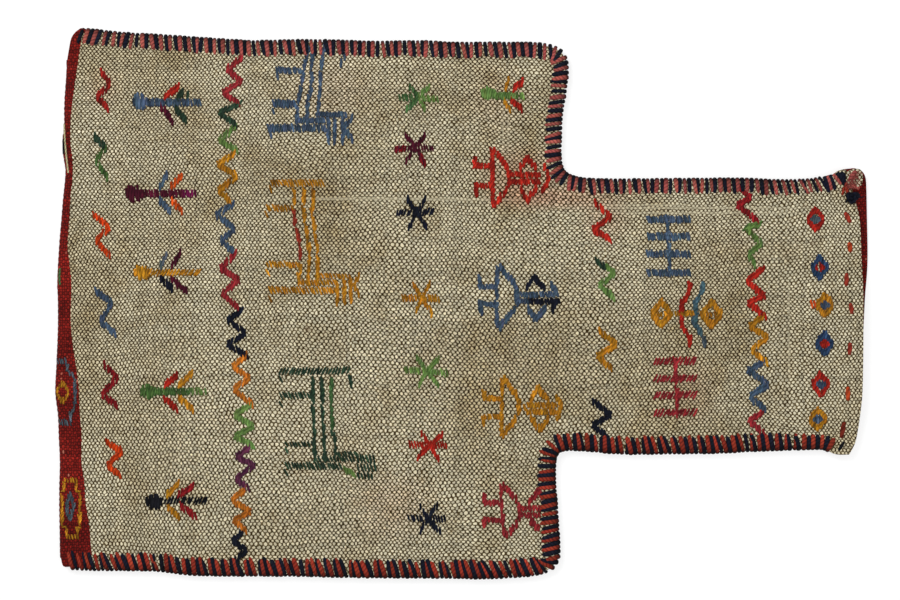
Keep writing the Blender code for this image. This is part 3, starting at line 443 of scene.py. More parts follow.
face_start = upper_cloth[upper_cloth[:, 0] > red_end[0, 0] + HALF_STEP]
face_start = face_start[face_start[:, 0] < face_mouth[0, 0] - HALF_STEP]
face_end = lower_cloth[lower_cloth[:, 0] > red_end[-1, 0] + HALF_STEP]
face_ring = np.vstack([face_start, face_mouth[:-1], face_end, red_end[::-1]])[::-1]
BEAD_LENGTH, BEAD_WIDTH = 0.77, 0.56


def from_middle(count):
    """How far a place is from the middle of its yarn."""
    gap = count.maths("FRACT", count) - 0.5
    return gap.maths("ABSOLUTE", gap)


def oval(along, across):
    """0 in the middle of a bead and 1 at its edge, from shares of the yarns' pitch."""
    return (along * (1 / BEAD_LENGTH)) ** 2.0 + (across * (1 / BEAD_WIDTH)) ** 2.0


cream_cloth, start, shader = new_material("cream_plain_weave")
along, across, bead, chance = yarn_beads(start)
broad = place_noise(start, 9.0, 3.0)
patch = place_noise(start, 45.0, 4.0, 0.6)
brown = broad.rising(0.42, 0.66) * 0.5 + patch.rising(0.46, 0.68) * 0.5
cream = brown.blend(dye("e0d7b9"), dye("c2b28a"))
# edge lies between the cream and the brown weft: partly the two yarns' own colours meeting, partly painted
# shade on each bead's rounded flank.
edge = brown.blend(dye("9a8d6a"), dye("7c6746"))
between = brown.blend(dye("46361a"), dye("33220f"))
along_gap, across_gap = from_middle(along), from_middle(across)
beside = along.maths("MINIMUM", oval(1.0 - along_gap, across_gap), oval(along_gap, 1.0 - across_gap))
warp_up = bead.maths("GREATER_THAN", bead, 0.0)
away = oval(along_gap, across_gap) * warp_up + beside * (1.0 - warp_up)
dome = 1.0 - away.rising(0.0, 1.15)
colour = (chance.rising(0.3, 1.0) * away.rising(1.15, 1.6) * 0.55).blend(between, edge)
# Each cream bead runs from edge at its rim to cream at its crown: painted shading of the bead's dome, over
# the yarns' own colours.
colour = dome.rising(0.05, 0.24).blend(colour, edge)
colour = dome.rising(0.18, 0.60).blend(colour, cream)
shade = place_noise(start, 420.0, 2.0)
colour = colour.lit(0.22 + chance * 0.30 + along.chance() * 0.18 + across.chance() * 0.18 + shade * 0.62)


def stains(*ovals, soft=0.9):
    """The sum of soft ovals of the chart: (right, down, width, height, strength)."""
    total = 0.0
    for right, down, width, height, strength in ovals:
        spot = start.node("ShaderNodeTexCoord", {}, {}, "Object")
        away = start.vectors("SUBTRACT", spot, (*laid((right, down))[0], 0.0))
        away = start.vectors("MULTIPLY", away, (1 / width / SQUARE, 1 / height / SQUARE, 0.0))
        far = start.vectors("LENGTH", away, output="Value")
        total = total + (1.0 - far.rising(1 - soft, 1.0)) * strength
    return total


bled = stains(
    (520, 178, 56, 44, 0.75), (560, 198, 90, 17, 0.7), (604, 220, 34, 30, 0.4), (500, 100, 40, 50, 0.2),
    (395, 505, 60, 50, 0.25), (103, 90, 26, 30, 0.3), (330, 90, 60, 50, 0.2), (688, 390, 40, 50, 0.3),
)
pale = stains(
    (365, 199, 135, 2.0, 1.0), (690, 208, 175, 1.5, 1.0), (690, 213, 175, 1.5, 1.0), (470, 200, 90, 1.6, 1.0),
    (503, 128, 1.4, 32, 1.0), (508, 128, 1.2, 32, 1.0), (788, 330, 1.4, 70, 1.0), (640, 205, 80, 1.3, 1.0),
    soft=0.5,
)
pale = pale.maths("MINIMUM", pale, 1.0) * patch.rising(0.30, 0.5)
colour = (pale * 0.42).blend(colour, dye("c6bc9e"))
sockets = {0: 1.0, 6: colour, 7: dye("ff9d92")}
pink = start.node("ShaderNodeMix", {"data_type": "RGBA", "blend_type": "MULTIPLY"}, sockets, 2)
colour = (bled * 0.42).blend(colour, pink)
dirt = stains(
    (805, 206, 4, 4, 1.0), (812, 243, 4, 4, 1.0), (464, 297, 4, 4, 1.0), (308, 329, 6, 5, 1.0),
    (797, 246, 4, 3, 1.0),
)
colour = (dirt * 0.45).blend(colour, dye("6a5740"))
fibre = place_noise(start, 1100.0, 3.0, 0.6)
relief = dome.rising(0.0, 0.7) + fibre * 0.35
finish_wool(start, shader, colour, relief, 0.0003, 0.9)

cream_face = woven_sheet("cream_face", face_ring, face_warp, face_pick, on_face, 25)
cream_face.data.materials.append(cream_cloth)
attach(cream_face, "root")
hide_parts("folded_cloth")


# Inlaid motifs
# Dyed two-ply wool laid in by hand as the cloth was woven. Each stroke shows as a row of short
# floats that stand nearly upright, so that slanting strokes look like parallel slashes.
YARN_DYES = {
    "red": "a92418", "crimson": "962a2f", "brick": "973424", "maroon": "4f1226", "purple": "5c2a44",
    "magenta": "741548", "orange": "cf4d14", "amber": "c06f22", "gold": "b67a1c", "green": "688846",
    "leaf": "44663a", "bottle": "2c4231", "blue": "45576c", "slate": "4e5a62", "teal": "45606a",
    "navy": "131725", "black": "14151a", "salmon": "a8544c", "sand": "cfc39c", "indigo": "2b4262",
    "rust": "b1441f", "moss": "4b6a36", "wine": "86181d", "ember": "c23c0e", "madder": "931e18",
}
FLOAT_THICKNESS = 0.00095
FLOAT_RISE, RISE_SPREAD = 0.00012, 0.00008
FLAT_SLOPE, STEEP_RATIO = 12, 2.4


def yarn_tree(name):
    """A tree of geometry nodes, and the places and the yarn that it is given."""
    tree = bpy.data.node_groups.new(name, "GeometryNodeTree")
    tree.interface.new_socket("Geometry", in_out="INPUT", socket_type="NodeSocketGeometry")
    tree.interface.new_socket("Yarn", in_out="INPUT", socket_type="NodeSocketMaterial")
    tree.interface.new_socket("Geometry", in_out="OUTPUT", socket_type="NodeSocketGeometry")
    given = Shade(tree).node("NodeGroupInput", {}, {})
    return tree, given, given.other("Yarn")


def told(given, name, kind="FLOAT_VECTOR"):
    """What the places say under a name."""
    return given.node("GeometryNodeInputNamedAttribute", {"data_type": kind}, {"Name": name})


def noted(shape, name, value):
    """The shape with a vector noted under a name at each of its points."""
    sockets = {"Geometry": shape, "Name": name, "Value": value}
    return shape.node("GeometryNodeStoreNamedAttribute", {"data_type": "FLOAT_VECTOR"}, sockets)


def finish_yarn(shape, yarn):
    solid = shape.node("GeometryNodeRealizeInstances", {}, {"Geometry": shape})
    soft = shape.node("GeometryNodeSetShadeSmooth", {}, {"Geometry": solid})
    dyed = shape.node("GeometryNodeSetMaterial", {}, {"Geometry": soft, "Material": yarn})
    shape.node("NodeGroupOutput", {}, {0: dyed})


def repeated_float_tree():
    """Nodes that lay one spun float at every point, turned, sized and dyed as the point says."""
    tree, given, yarn = yarn_tree("laid_floats")
    ball = given.node("GeometryNodeMeshUVSphere", {}, {"Segments": 8, "Rings": 6, "Radius": 1.0})
    spot = given.node("GeometryNodeInputPosition", {}, {})
    parts = given.node("ShaderNodeSeparateXYZ", {}, {0: spot})
    fuller = parts * (1.5 - parts * parts * 0.5)
    blunt = given.node("ShaderNodeCombineXYZ", {}, {0: fuller, 1: parts.other(1), 2: parts.other(2)})
    sockets = {"Geometry": noted(ball, "ply", spot), "Position": blunt}
    yarn_float = given.node("GeometryNodeSetPosition", {}, sockets)
    sockets = {"Points": given, "Instance": yarn_float}
    sockets |= {"Rotation": told(given, "turn"), "Scale": told(given, "size")}
    finish_yarn(given.node("GeometryNodeInstanceOnPoints", {}, sockets), yarn)
    return tree


def grown(name, tree, places, edges, attributes, yarn):
    """The piece that a geometry tree makes from places with attributes."""
    mesh = bpy.data.meshes.new(name)
    mesh.from_pydata(np.asarray(places).tolist(), edges, [])
    for label, (kind, values) in attributes.items():
        field = {"FLOAT_VECTOR": "vector", "FLOAT_COLOR": "color", "FLOAT": "value"}[kind]
        numbers = np.ravel(values).astype(np.float32)
        mesh.attributes.new(label, kind, "POINT").data.foreach_set(field, numbers)
    piece = placed(name, mesh)
    nodes = piece.modifiers.new("grow", "NODES")
    nodes.node_group = tree
    sockets = {item.name: item.identifier for item in tree.interface.items_tree if item.in_out == "INPUT"}
    nodes[sockets["Yarn"]] = yarn
    ready = piece.evaluated_get(bpy.context.evaluated_depsgraph_get())
    finished = bpy.data.meshes.new_from_object(ready)
    piece.modifiers.clear()
    piece.data = finished
    finished.name = name
    bpy.data.meshes.remove(mesh)
    return piece


def wool_yarn(name):
    """Two plies twisted together: a groove winds round between them, darkened with painted shade, with fine
    hairs over both.
    """
    material, start, shader = new_material(name)
    dyed = start.node("ShaderNodeAttribute", {"attribute_name": "dye"}, {}, "Color")
    ply = start.node("ShaderNodeAttribute", {"attribute_name": "ply"}, {}, "Vector")
    parts = start.node("ShaderNodeSeparateXYZ", {}, {0: ply})
    twist = (parts.maths("ARCTAN2", parts.other(1), parts.other(2)) * 2.0 + parts * 6.5).wave()
    fleck = place_noise(start, 1300.0, 3.0, 0.6)
    slow = place_noise(start, 260.0, 2.0)
    # The twist term paints shade into the groove between the plies; fleck and slow are the wool's uneven
    # tone.
    light = 0.50 + twist.rising(-1.0, 0.4) * 0.46 + (fleck - 0.5) * 0.7 + (slow - 0.5) * 0.5
    finish_wool(start, shader, dyed.lit(light), twist.rising(-1.0, 0.4) + fleck * 0.6, 0.0002, 0.85)
    return material


def stroke(colour, *squares, tall=9.4, pitch=2.8, wide=2.8, lean=14):
    """Floats along one stroke, on the chart: middle, direction, length, width and dye."""
    rows = []
    for (a, b), (c, d) in zip(squares, squares[1:]):
        run, fall = c - a, d - b
        if abs(fall) > STEEP_RATIO * abs(run):
            count = max(2, round(abs(fall) / 2.9))
            inner = 1 - min(0.8, 3.6 / abs(fall))
            for k in range(count):
                share, side = 0.5 + ((k + 0.5) / count - 0.5) * inner, 1 if k % 2 else -1
                u, v = a + run * share + side * wide / 5, b + fall * share
                rows.append((u, v, 90 + side * 13, 7.2, wide, colour))
            continue
        slope = math.degrees(math.atan2(abs(fall), abs(run)))
        if slope < FLAT_SLOPE:
            steep, length, width, apart = 90 - lean, tall, wide * 0.9, pitch * 1.16
        else:
            steep, length, width, apart = min(slope + 40, 86), tall * 1.1, wide * 1.06, pitch
        heading = steep if run * fall >= 0 else 180 - steep
        count = max(1, round(abs(run) / apart))
        for k in range(count):
            share = (k + 0.5) / count
            rows.append((a + run * share, b + fall * share, heading, length, width, colour))
    return rows


def strokes(colour, *lines, **settings):
    """Floats along several strokes of one dye."""
    return [row for squares in lines for row in stroke(colour, *squares, **settings)]


def dyed_strokes(*lines):
    """Floats along strokes that each begin with their dye."""
    return [row for colour, *squares in lines for row in stroke(colour, *squares)]


def laid_floats(name, rows, nodes, seed):
    """One piece of floats that stands for CAD nodes."""
    rng = np.random.default_rng(seed)
    numbers = np.array([row[:5] for row in rows], float)
    count = len(rows)
    squares = numbers[:, :2] + rng.normal(0, 0.36, (count, 2))
    heading = -np.radians(numbers[:, 2] + rng.normal(0, 4, count))
    half = numbers[:, 3] / 2 * SQUARE * rng.uniform(0.82, 1.12, count)
    width = numbers[:, 4] / 2 * SQUARE * rng.uniform(0.9, 1.12, count)
    place = laid(*squares)
    along = np.stack([np.cos(heading), np.sin(heading)], axis=1) * half[:, None]
    heights = [upper_side(*(place + along * end).T) for end in (-0.7, 0, 0.7)]
    tilt = -np.arctan2(heights[2] - heights[0], 1.4 * half)
    spots = np.hstack([place, (heights[1] + FLOAT_RISE + rng.uniform(0, RISE_SPREAD, count))[:, None]])
    turn = np.stack([np.zeros(count), tilt, heading], axis=1)
    size = np.stack([half, width, np.full(count, FLOAT_THICKNESS / 2)], axis=1)
    colours = np.array([dye(YARN_DYES[row[5]]) for row in rows])
    colours[:, :3] *= 0.84 * (2.0 ** rng.normal(0, 0.42, count))[:, None]
    colours[:, :3] *= 2.0 ** rng.normal(0, 0.06, (count, 3))
    attributes = {
        "turn": ("FLOAT_VECTOR", turn), "size": ("FLOAT_VECTOR", size),
        "dye": ("FLOAT_COLOR", np.clip(colours, 0, 0.95)),
    }
    piece = grown(name, float_tree, spots, [], attributes, yarn_wool)
    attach(piece, "root")
    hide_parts(*nodes)
    return piece


float_tree = repeated_float_tree()
yarn_wool = wool_yarn("two_ply_wool")


# Small zigzags at the foot
# A column of six single zigzags beside the red strip, each of one dye but the second.
laid_floats("foot_zigzags", dyed_strokes(
    ("madder", (101, 71), (111, 85), (97, 97), (110, 110)),
    ("bottle", (94, 136), (107, 148.5)),
    ("moss", (107, 148.5), (96, 161), (109.5, 179)),
    ("ember", (93, 214), (110.5, 228), (96, 240), (111.4, 257)),
    ("blue", (96, 291), (113.4, 303), (100.5, 321.5), (117, 334.4)),
    ("wine", (104, 364), (119, 378), (102.5, 394), (118.4, 406)),
    ("ember", (106, 440.6), (123, 452), (107.6, 465), (122, 475)),
), [f"foot_zigzag_{k}" for k in range(1, 7)], 31)


# Birds
# Each has a round head, one long bar for a body and two pairs of swept wings.
def bird(head, body, wings, dyes, radius, reach, dense=1.75, lean=10):
    """A head at a place on the chart, a body bar to reach, and wings of (dye, from, to)."""
    u, v = head
    rows = []
    for k in range(6):
        offset = (k - 2.5) / 3 * radius
        tall = 2 * math.sqrt(max(radius**2 - offset**2, 6)) * 1.1
        rows.append((u + offset, v, 84, min(tall, 2.1 * radius), 3.5, dyes[0]))
    neck, waist, end = ((right, body) for right in (u + radius - 2, reach - 14, reach))
    rows += stroke(dyes[0], neck, waist, tall=9, pitch=dense, wide=2.8, lean=lean)
    rows += stroke(dyes[1], waist, end, tall=8.4, pitch=2.5, wide=2.8, lean=lean)
    for colour, *line in wings:
        rows += stroke(colour, *line, tall=9.4, pitch=2.7, wide=2.9)
    return rows


laid_floats("birds", [
    *bird((141, 102), 103, (
        ("red", (164.6, 98.3), (180, 87)), ("bottle", (177.4, 99.5), (184.4, 92)),
        ("bottle", (187, 99), (190, 93)), ("maroon", (161.5, 106), (174, 124)),
        ("bottle", (175, 108), (188, 122)),
    ), ("blue", "blue"), 8, 202),
    *bird((135, 193.7), 193.8, (
        ("blue", (159.3, 188), (168.8, 173.6)), ("blue", (159.3, 199.5), (172, 212.4)),
        ("orange", (170.8, 188), (182.8, 175.7)), ("orange", (172, 199.5), (183.7, 213)),
    ), ("maroon", "magenta"), 8.6, 197),
    *bird((142.6, 272.7), 272.7, (
        ("slate", (160.7, 268.4), (168, 254)), ("navy", (160.7, 277), (173.6, 290)),
        ("maroon", (171.6, 267), (183, 252)), ("maroon", (172, 278.4), (188, 292)),
    ), ("gold", "gold"), 8, 200, 2.8, -30),
    *bird((149, 391.3), 391.3, (
        ("red", (164, 386), (178, 374)), ("red", (164, 397.6), (178.5, 409)),
        ("gold", (178.5, 386), (193.7, 373)), ("gold", (178.5, 396), (194.6, 409.6)),
    ), ("moss", "green"), 8, 207),
    *bird((155, 501), 500, (
        ("gold", (166.5, 495), (180.8, 482)), ("gold", (168, 506), (180.8, 517.6)),
        ("wine", (178.5, 495), (194.6, 485)), ("wine", (180, 504), (197.5, 516.7)),
    ), ("black", "black"), 8, 208, 2.8, -24),
    *bird((489, 94), 96.5, (
        ("gold", (504.4, 90.5), (510, 78.5)), ("gold", (503, 99.5), (510.6, 111.5)),
        ("red", (513, 89.6), (523.6, 81)), ("red", (510, 100.4), (522.7, 110)),
    ), ("green", "green"), 7, 524.5),
], [*(f"bird_{k}" for k in range(1, 6)), "small_bird"], 32)


# Long zigzag
# It crosses the body from edge to edge and changes dye every few turns.
laid_floats("body_zigzag_floats", dyed_strokes(
    ("crimson", (243, 57), (227, 70), (242.5, 82), (223, 93), (241, 104)),
    ("bottle", (241, 104), (219.6, 113), (237.6, 126)),
    ("green", (237.6, 126), (219.6, 140.6), (238.8, 151.5)),
    ("gold", (236, 153.5), (218, 165), (237.6, 176.5), (218.7, 191), (232, 202)),
    ("blue", (235, 204), (217, 215), (235.4, 229.6), (221, 241), (235.4, 252.6)),
    ("crimson", (237.6, 252.6), (221, 268), (239.7, 280), (222.4, 294), (240.5, 308.6)),
    ("navy", (243.4, 310), (228, 320), (246, 333), (228, 344.5), (248, 356)),
    ("amber", (248, 354.5), (233, 366), (251, 377.5), (234, 389), (254, 405)),
    ("green", (252.6, 403), (235.4, 415), (254, 426), (235.4, 436), (255.4, 446.4)),
    ("purple", (251, 446.4), (236.8, 456.4), (255.4, 465), (235.4, 478), (249.7, 488)),
    ("amber", (246.8, 488), (232.5, 499.5), (251, 511), (234, 519.6), (248, 531)),
    ("navy", (244, 531), (232, 540), (247.4, 550), (234, 561)),
), ["body_zigzag"], 33)


# Animals
# Three long-legged animals with two or three lines for the back and dashes for neck and head.
def bars(colour, *lines):
    """Bars of floats, which slant more and stand farther apart in all but the blue animal."""
    pitch, wide, lean = (2.1, 3.1, 12) if colour == "blue" else (2.6, 2.6, 26)
    rows = []
    for left, up, right, down, tall in lines:
        ends = (left, up), (right, down)
        rows += stroke(colour, *ends, tall=tall * 1.12, pitch=pitch, wide=wide, lean=lean)
    return rows


laid_floats("animals", [
    *strokes(
        "blue", ((309, 44), (304, 70.6), (301.7, 86), (298.6, 105), (297, 126)),
        ((314, 44), (311.6, 70.6), (312.4, 86), (308.6, 101), (307, 126)),
        ((325, 44), (320.8, 70.6), (320.8, 86), (319.3, 101), (317.7, 114)),
    ),
    *bars(
        "blue", (276, 70.6, 302, 71.4, 7), (277.5, 77, 279.5, 77, 8), (273, 104.3, 297, 104.3, 8),
        (272.5, 112, 275, 112, 8), (268, 128.5, 326, 128.8, 8), (270, 136, 272.5, 136, 8),
        (298, 121, 331, 121, 6.4), (316, 115, 347, 115, 5.6),
    ),
    *strokes("blue", ((329, 119), (329, 146)), ((335, 117), (335, 146)), ((343, 115), (343, 146))),
    *strokes("blue", ((353.7, 117), (344, 129), (353, 141)), ((340, 66), (346, 54)), pitch=3),
    *bars(
        "gold", (270.5, 183.4, 325, 183.4, 8), (269.5, 190, 272, 190, 8), (267, 208.4, 294, 208.4, 7.5),
        (266, 215, 268.5, 215, 8),
    ),
    *stroke("gold", (295.5, 188), (294, 206)),
    *stroke("brick", (293.5, 208), (296.4, 227), (301, 246), (300.4, 261)),
    *strokes(
        "gold", ((301.3, 262), (298.7, 286)),
        ((305.4, 188), (303.6, 206), (305.4, 223.6), (308, 241), (310.3, 255), (308, 286)),
        ((314, 188), (313, 214.6), (315, 232.5), (318.3, 255), (317, 286)),
    ),
    *bars(
        "gold", (267, 264.6, 299, 264.6, 7), (268, 272.6, 270.5, 272.6, 8), (270, 290, 337, 290.5, 8),
        (270, 299, 272.5, 299, 8), (299, 282.5, 339, 282.5, 6.4), (318, 276, 348, 276, 5.6),
    ),
    *strokes("gold", ((338, 281), (338, 306)), ((344.6, 278), (344.6, 306)), ((351, 275), (351, 304))),
    *stroke("gold", (360, 275), (354, 284), (360, 296), pitch=3),
    *bars("bottle", (280, 371.2, 350.4, 370.5, 8), (280, 379, 282.5, 379, 8)),
    *stroke("bottle", (350, 374), (351.5, 388)),
    *bars("bottle", (280, 395.5, 313, 395.5, 7.5), (280, 404, 282.5, 404, 8)),
    *stroke("bottle", (314, 376), (313, 404), (314.6, 426), (315, 462)),
    *stroke("bottle", (322, 376), (322.7, 404), (323.6, 421), (325.4, 462)),
    *stroke("leaf", (331.6, 376), (331.6, 404), (332.5, 430)),
    *stroke("bottle", (332.5, 430), (336.5, 444), (335, 456)),
    *bars(
        "bottle", (286, 444, 314, 444, 6.4), (286, 450, 288.5, 450, 7), (286, 465, 342, 466, 8),
        (285, 473, 287.5, 473, 8), (315, 458.5, 355, 458.5, 6.4), (336, 453.6, 359, 453.6, 5.6),
    ),
    *stroke("green", (344, 469), (356, 474), tall=9, pitch=3),
    *stroke("bottle", (356, 458), (376, 458), tall=10, pitch=2.9),
    *stroke("bottle", (357, 467), (377, 467), tall=9, pitch=3),
    *stroke("bottle", (357, 475.5), (374, 475.5), tall=8, pitch=3.2),
], ["animal_1", "animal_2", "animal_3"], 34)


# Stars
# A column of seven: a bar with two strokes crossed over it.
def star(middle, left, right, up_left, up_right, down_left, down_right, colour, second=None):
    """Three lines through the middle, whose right halves can be of a second dye."""
    size = {"tall": 8.0, "pitch": 2.2, "wide": 2.5}
    left_half = (left, middle), (up_left, middle), (down_left, middle)
    right_half = (middle, right), (up_right, middle), (middle, down_right)
    return strokes(colour, *left_half, **size) + strokes(second or colour, *right_half, **size)


laid_floats("stars", [
    *star(
        (418.5, 98), (399, 97.7), (438.6, 100), (409, 86), (430, 87), (406, 111), (426, 111), "leaf", "green",
    ),
    *star((415, 148), (394, 150), (434, 149), (405, 134), (425.6, 134), (405.5, 163), (425, 164), "maroon"),
    *stroke("wine", (394, 150), (406, 149.4), tall=8.0, pitch=2.1),
    *stroke("wine", (420, 157), (426, 165), pitch=2.2),
    *star((417, 212.5), (396, 213), (434, 211.5), (406, 198), (426, 198), (408, 229), (427, 228), "navy"),
    *star((422, 298), (401.5, 298), (440, 299), (413, 283), (431, 282), (415, 313), (433, 315), "gold"),
    *star((426.5, 371), (404, 370), (448, 373), (416, 356), (439, 358), (418.5, 386), (440, 386), "green"),
    *star((430, 445), (408.4, 444), (447, 445), (421, 432), (443, 434), (417, 458), (440, 460), "red"),
    *star((427, 518), (408, 517), (446, 518), (420, 504), (438, 504), (420, 532), (441, 532), "navy"),
], [f"star_{k}" for k in range(1, 8)], 35)


# Dolls
# Four figures that lie on their sides: a skirt like a half moon, two legs, a body bar and a head.
def bold(colour, *squares, tall=8.4, pitch=2.7):
    return stroke(colour, *squares, tall=tall * 1.1, pitch=pitch * 0.88, wide=3.3)


laid_floats("dolls", [
    *bold("red", (492, 148), (492.8, 208)), *bold("red", (509, 169), (509, 188)),
    *bold("red", (493, 150), (509, 170), pitch=3.2), *bold("red", (493.5, 206), (508, 189), pitch=3.2),
    *bold("red", (473, 166.5), (491, 166), tall=6.4), *bold("red", (475, 156), (474.5, 168)),
    *bold("red", (474, 186), (491, 186), tall=6.4), *bold("red", (475.4, 186), (476.7, 198)),
    *bold("red", (509, 175), (541, 175), tall=6.4), *bold("red", (509, 182), (541, 182), tall=6.4),
    *bold("red", (519, 169), (527.5, 157.5), (536, 169), pitch=3),
    *bold("red", (520, 188), (527.5, 201), (537, 187), pitch=3),
    *bold("red", (543.5, 164), (549, 176), (548, 182), (541, 192), pitch=3),
    *bold("blue", (497.6, 266), (496, 300), (497.6, 328)),
    *bold("blue", (498.4, 266), (515.5, 285), pitch=3.2),
    *bold("blue", (516.5, 285), (517, 307)), *bold("blue", (515.5, 308), (498.6, 328), pitch=3.2),
    *bold("blue", (478, 287), (496, 287), tall=6), *bold("blue", (479.6, 274), (479.6, 287)),
    *bold("blue", (479, 302), (495, 306), tall=6), *bold("blue", (480, 303), (481.5, 315)),
    *bold("blue", (517, 294.6), (558, 294.6), tall=6.4), *bold("blue", (518, 301), (528, 301.3), tall=6.2),
    *bold("navy", (528, 301.3), (560, 301.3), tall=6.6),
    *bold("navy", (525.5, 289), (533.5, 277), (545, 289), pitch=2.8),
    *bold("blue", (550.5, 285), (557.4, 294), pitch=2.6), *bold("navy", (556, 301), (551, 312), pitch=2.4),
    *bold("blue", (527.4, 307.4), (535, 319.5), (546.5, 307), pitch=2.8),
    *bold("gold", (502, 378), (502, 400), (500.8, 436)), *bold("gold", (503, 377), (517, 396), pitch=3.2),
    *bold("gold", (518.5, 396), (518.5, 416)), *bold("gold", (517, 417), (502, 436), pitch=3.2),
    *bold("gold", (483, 398.3), (501, 398.3), tall=6), *bold("gold", (484.3, 389), (484.3, 399)),
    *bold("gold", (484, 416.4), (502, 416.4), tall=6), *bold("gold", (483.4, 416), (483.4, 426)),
    *bold("gold", (521, 407.2), (527, 407.2), tall=7, pitch=5),
    *bold("gold", (526, 405), (557, 405), tall=6.2), *bold("gold", (526, 412), (557, 412), tall=6.6),
    *bold("gold", (530, 400.8), (537.5, 387.5), (549, 400.8), pitch=2.8),
    *bold("gold", (530, 417.4), (540, 429.5), (548.5, 417.4), pitch=2.8),
    *bold("gold", (555, 396), (562, 406.5), (556, 421), pitch=2.6),
    *bold("crimson", (501.3, 483), (500.8, 497), (502.5, 511), (503.2, 526), (504.4, 537)),
    *bold("crimson", (502.4, 484), (517, 500), pitch=3.2), *bold("crimson", (519.2, 501), (519.4, 521)),
    *bold("crimson", (518, 522), (505.4, 536), pitch=3.2),
    *bold("crimson", (483, 502), (500, 502), tall=6), *bold("crimson", (484.3, 492), (484.3, 502)),
    *bold("crimson", (483, 518.5), (501, 520), tall=6), *bold("crimson", (484, 519), (484, 527)),
    *bold("crimson", (521, 508.3), (541, 508.3), tall=6), *bold("crimson", (521, 515), (541, 515), tall=6),
    *bold("crimson", (528.5, 503), (537.6, 490.5), (542, 496), pitch=2.8),
    *bold("crimson", (529.5, 519.5), (539, 529), pitch=2.8),
], [f"doll_{k}" for k in range(1, 5)], 36)


# Neck band
# Four small zigzags, two combs with a pair of lozenges between them, and a second long zigzag.
laid_floats("neck_zigzags", dyed_strokes(
    ("red", (593.5, 202), (611, 217), (592.6, 229.6), (611, 240)),
    ("bottle", (595, 261), (605, 267)),
    ("green", (605, 267), (615, 273), (598, 285.6), (615, 298.5)),
    ("gold", (598, 330), (616.5, 344.5), (596.4, 356), (612, 369)),
    ("navy", (592, 400.5), (611, 415), (592, 425), (606.4, 435)),
), [f"neck_zigzag_{k}" for k in range(1, 5)], 37)

laid_floats("combs_and_lozenges", [
    *strokes(
        "blue", *(((646, v), (690, v)) for v in (219.6, 236.8, 254, 272.7)),
        tall=8.6, pitch=2.1, wide=3.0,
    ),
    *stroke("blue", (666.7, 214), (668, 240), (669.6, 278)),
    *strokes(
        "crimson", *(((653.5, v + 0.5), (696, v - 0.5)) for v in (361, 378.4, 394.7, 412.5)),
        tall=9.2, pitch=2.8, wide=2.9, lean=27,
    ),
    *stroke("crimson", (674, 356), (675.5, 385), (677, 418)),
    *strokes(
        "gold", *(((u, 314), (u + 10, 302), (u + 20, 314), (u + 10, 325), (u, 314)) for u in (651, 701)),
        pitch=2.2, wide=3,
    ),
    *stroke("gold", (650, 314), (722, 314), tall=6.6),
    *stroke("red", (689, 281), (688.6, 295), wide=3.6), *stroke("red", (687, 296), (682, 301), wide=3.2),
    *stroke("red", (681, 300), (681, 328), wide=3.6), *stroke("red", (682, 328), (688, 333), wide=3.2),
    *stroke("red", (688.5, 333), (689.5, 348), wide=3.6),
    *stroke("teal", (703, 281), (701, 295), wide=3.8), *stroke("teal", (700, 297), (695, 302), wide=3.2),
    *stroke("teal", (694.6, 300), (694.4, 328), wide=4.2), *stroke("teal", (696, 328), (702, 334), wide=3.2),
    *stroke("slate", (702.5, 334), (704.6, 348), wide=3),
    *stroke("gold", (676, 313.5), (698, 313.5), tall=6.4),
], ["comb_1", "comb_2", "paired_lozenges"], 38)

laid_floats("mouth_zigzag_floats", dyed_strokes(
    ("wine", (738.4, 186.6), (751, 198), (737, 205), (758.5, 222.4)),
    ("green", (760, 224), (744, 228), (761.4, 244), (747, 255.5), (755.7, 265.5)),
    ("red", (764, 268), (745.6, 281), (764, 295.6), (747, 303), (765.7, 317)),
    ("gold", (763, 316), (748.5, 326), (767, 337), (750, 350), (767, 363)),
    ("blue", (764, 361.7), (747, 370), (767, 384.7), (748.5, 396), (765.7, 410.5)),
    ("crimson", (763, 412), (748.5, 420.5), (764, 433.5)),
), ["mouth_zigzag"], 39)


# Mouth diamonds
# Six small diamonds in a row beside the mouth, each a ring of one dye round a core of another.
def diamond(middle, ring_dye, core_dye):
    u, v = middle
    ring = ((u - 8.2, v), (u, v - 10), (u + 8.2, v), (u, v + 10), (u - 8.2, v))
    core = [(u + 2.2 * k, v, 84, 11.5 - 2.4 * abs(k), 2.9, core_dye) for k in (-2, -1, 0, 1, 2)]
    return [*core, *stroke(ring_dye, *ring, tall=8.4, pitch=2.1, wide=3.1)]


laid_floats("mouth_diamonds", [
    *diamond((815, 219.6), "red", "slate"), *diamond((819, 267.5), "indigo", "red"),
    *diamond((824, 305), "gold", "blue"), *stroke("orange", (809, 304), (815, 304), tall=9, pitch=2.8),
    *diamond((823.7, 343.6), "indigo", "red"), *diamond((820, 384), "red", "blue"),
    *diamond((817.4, 419), "gold", "blue"),
], [f"mouth_diamond_{k}" for k in range(1, 7)], 40)


# Motifs of the red strip
# Half a diamond in a blue-grey bracket that is cut off by the fold, and a notched frame.
def thin(colour, *lines, tall=5.4):
    return strokes(colour, *lines, tall=tall, pitch=2.2, wide=2.2)


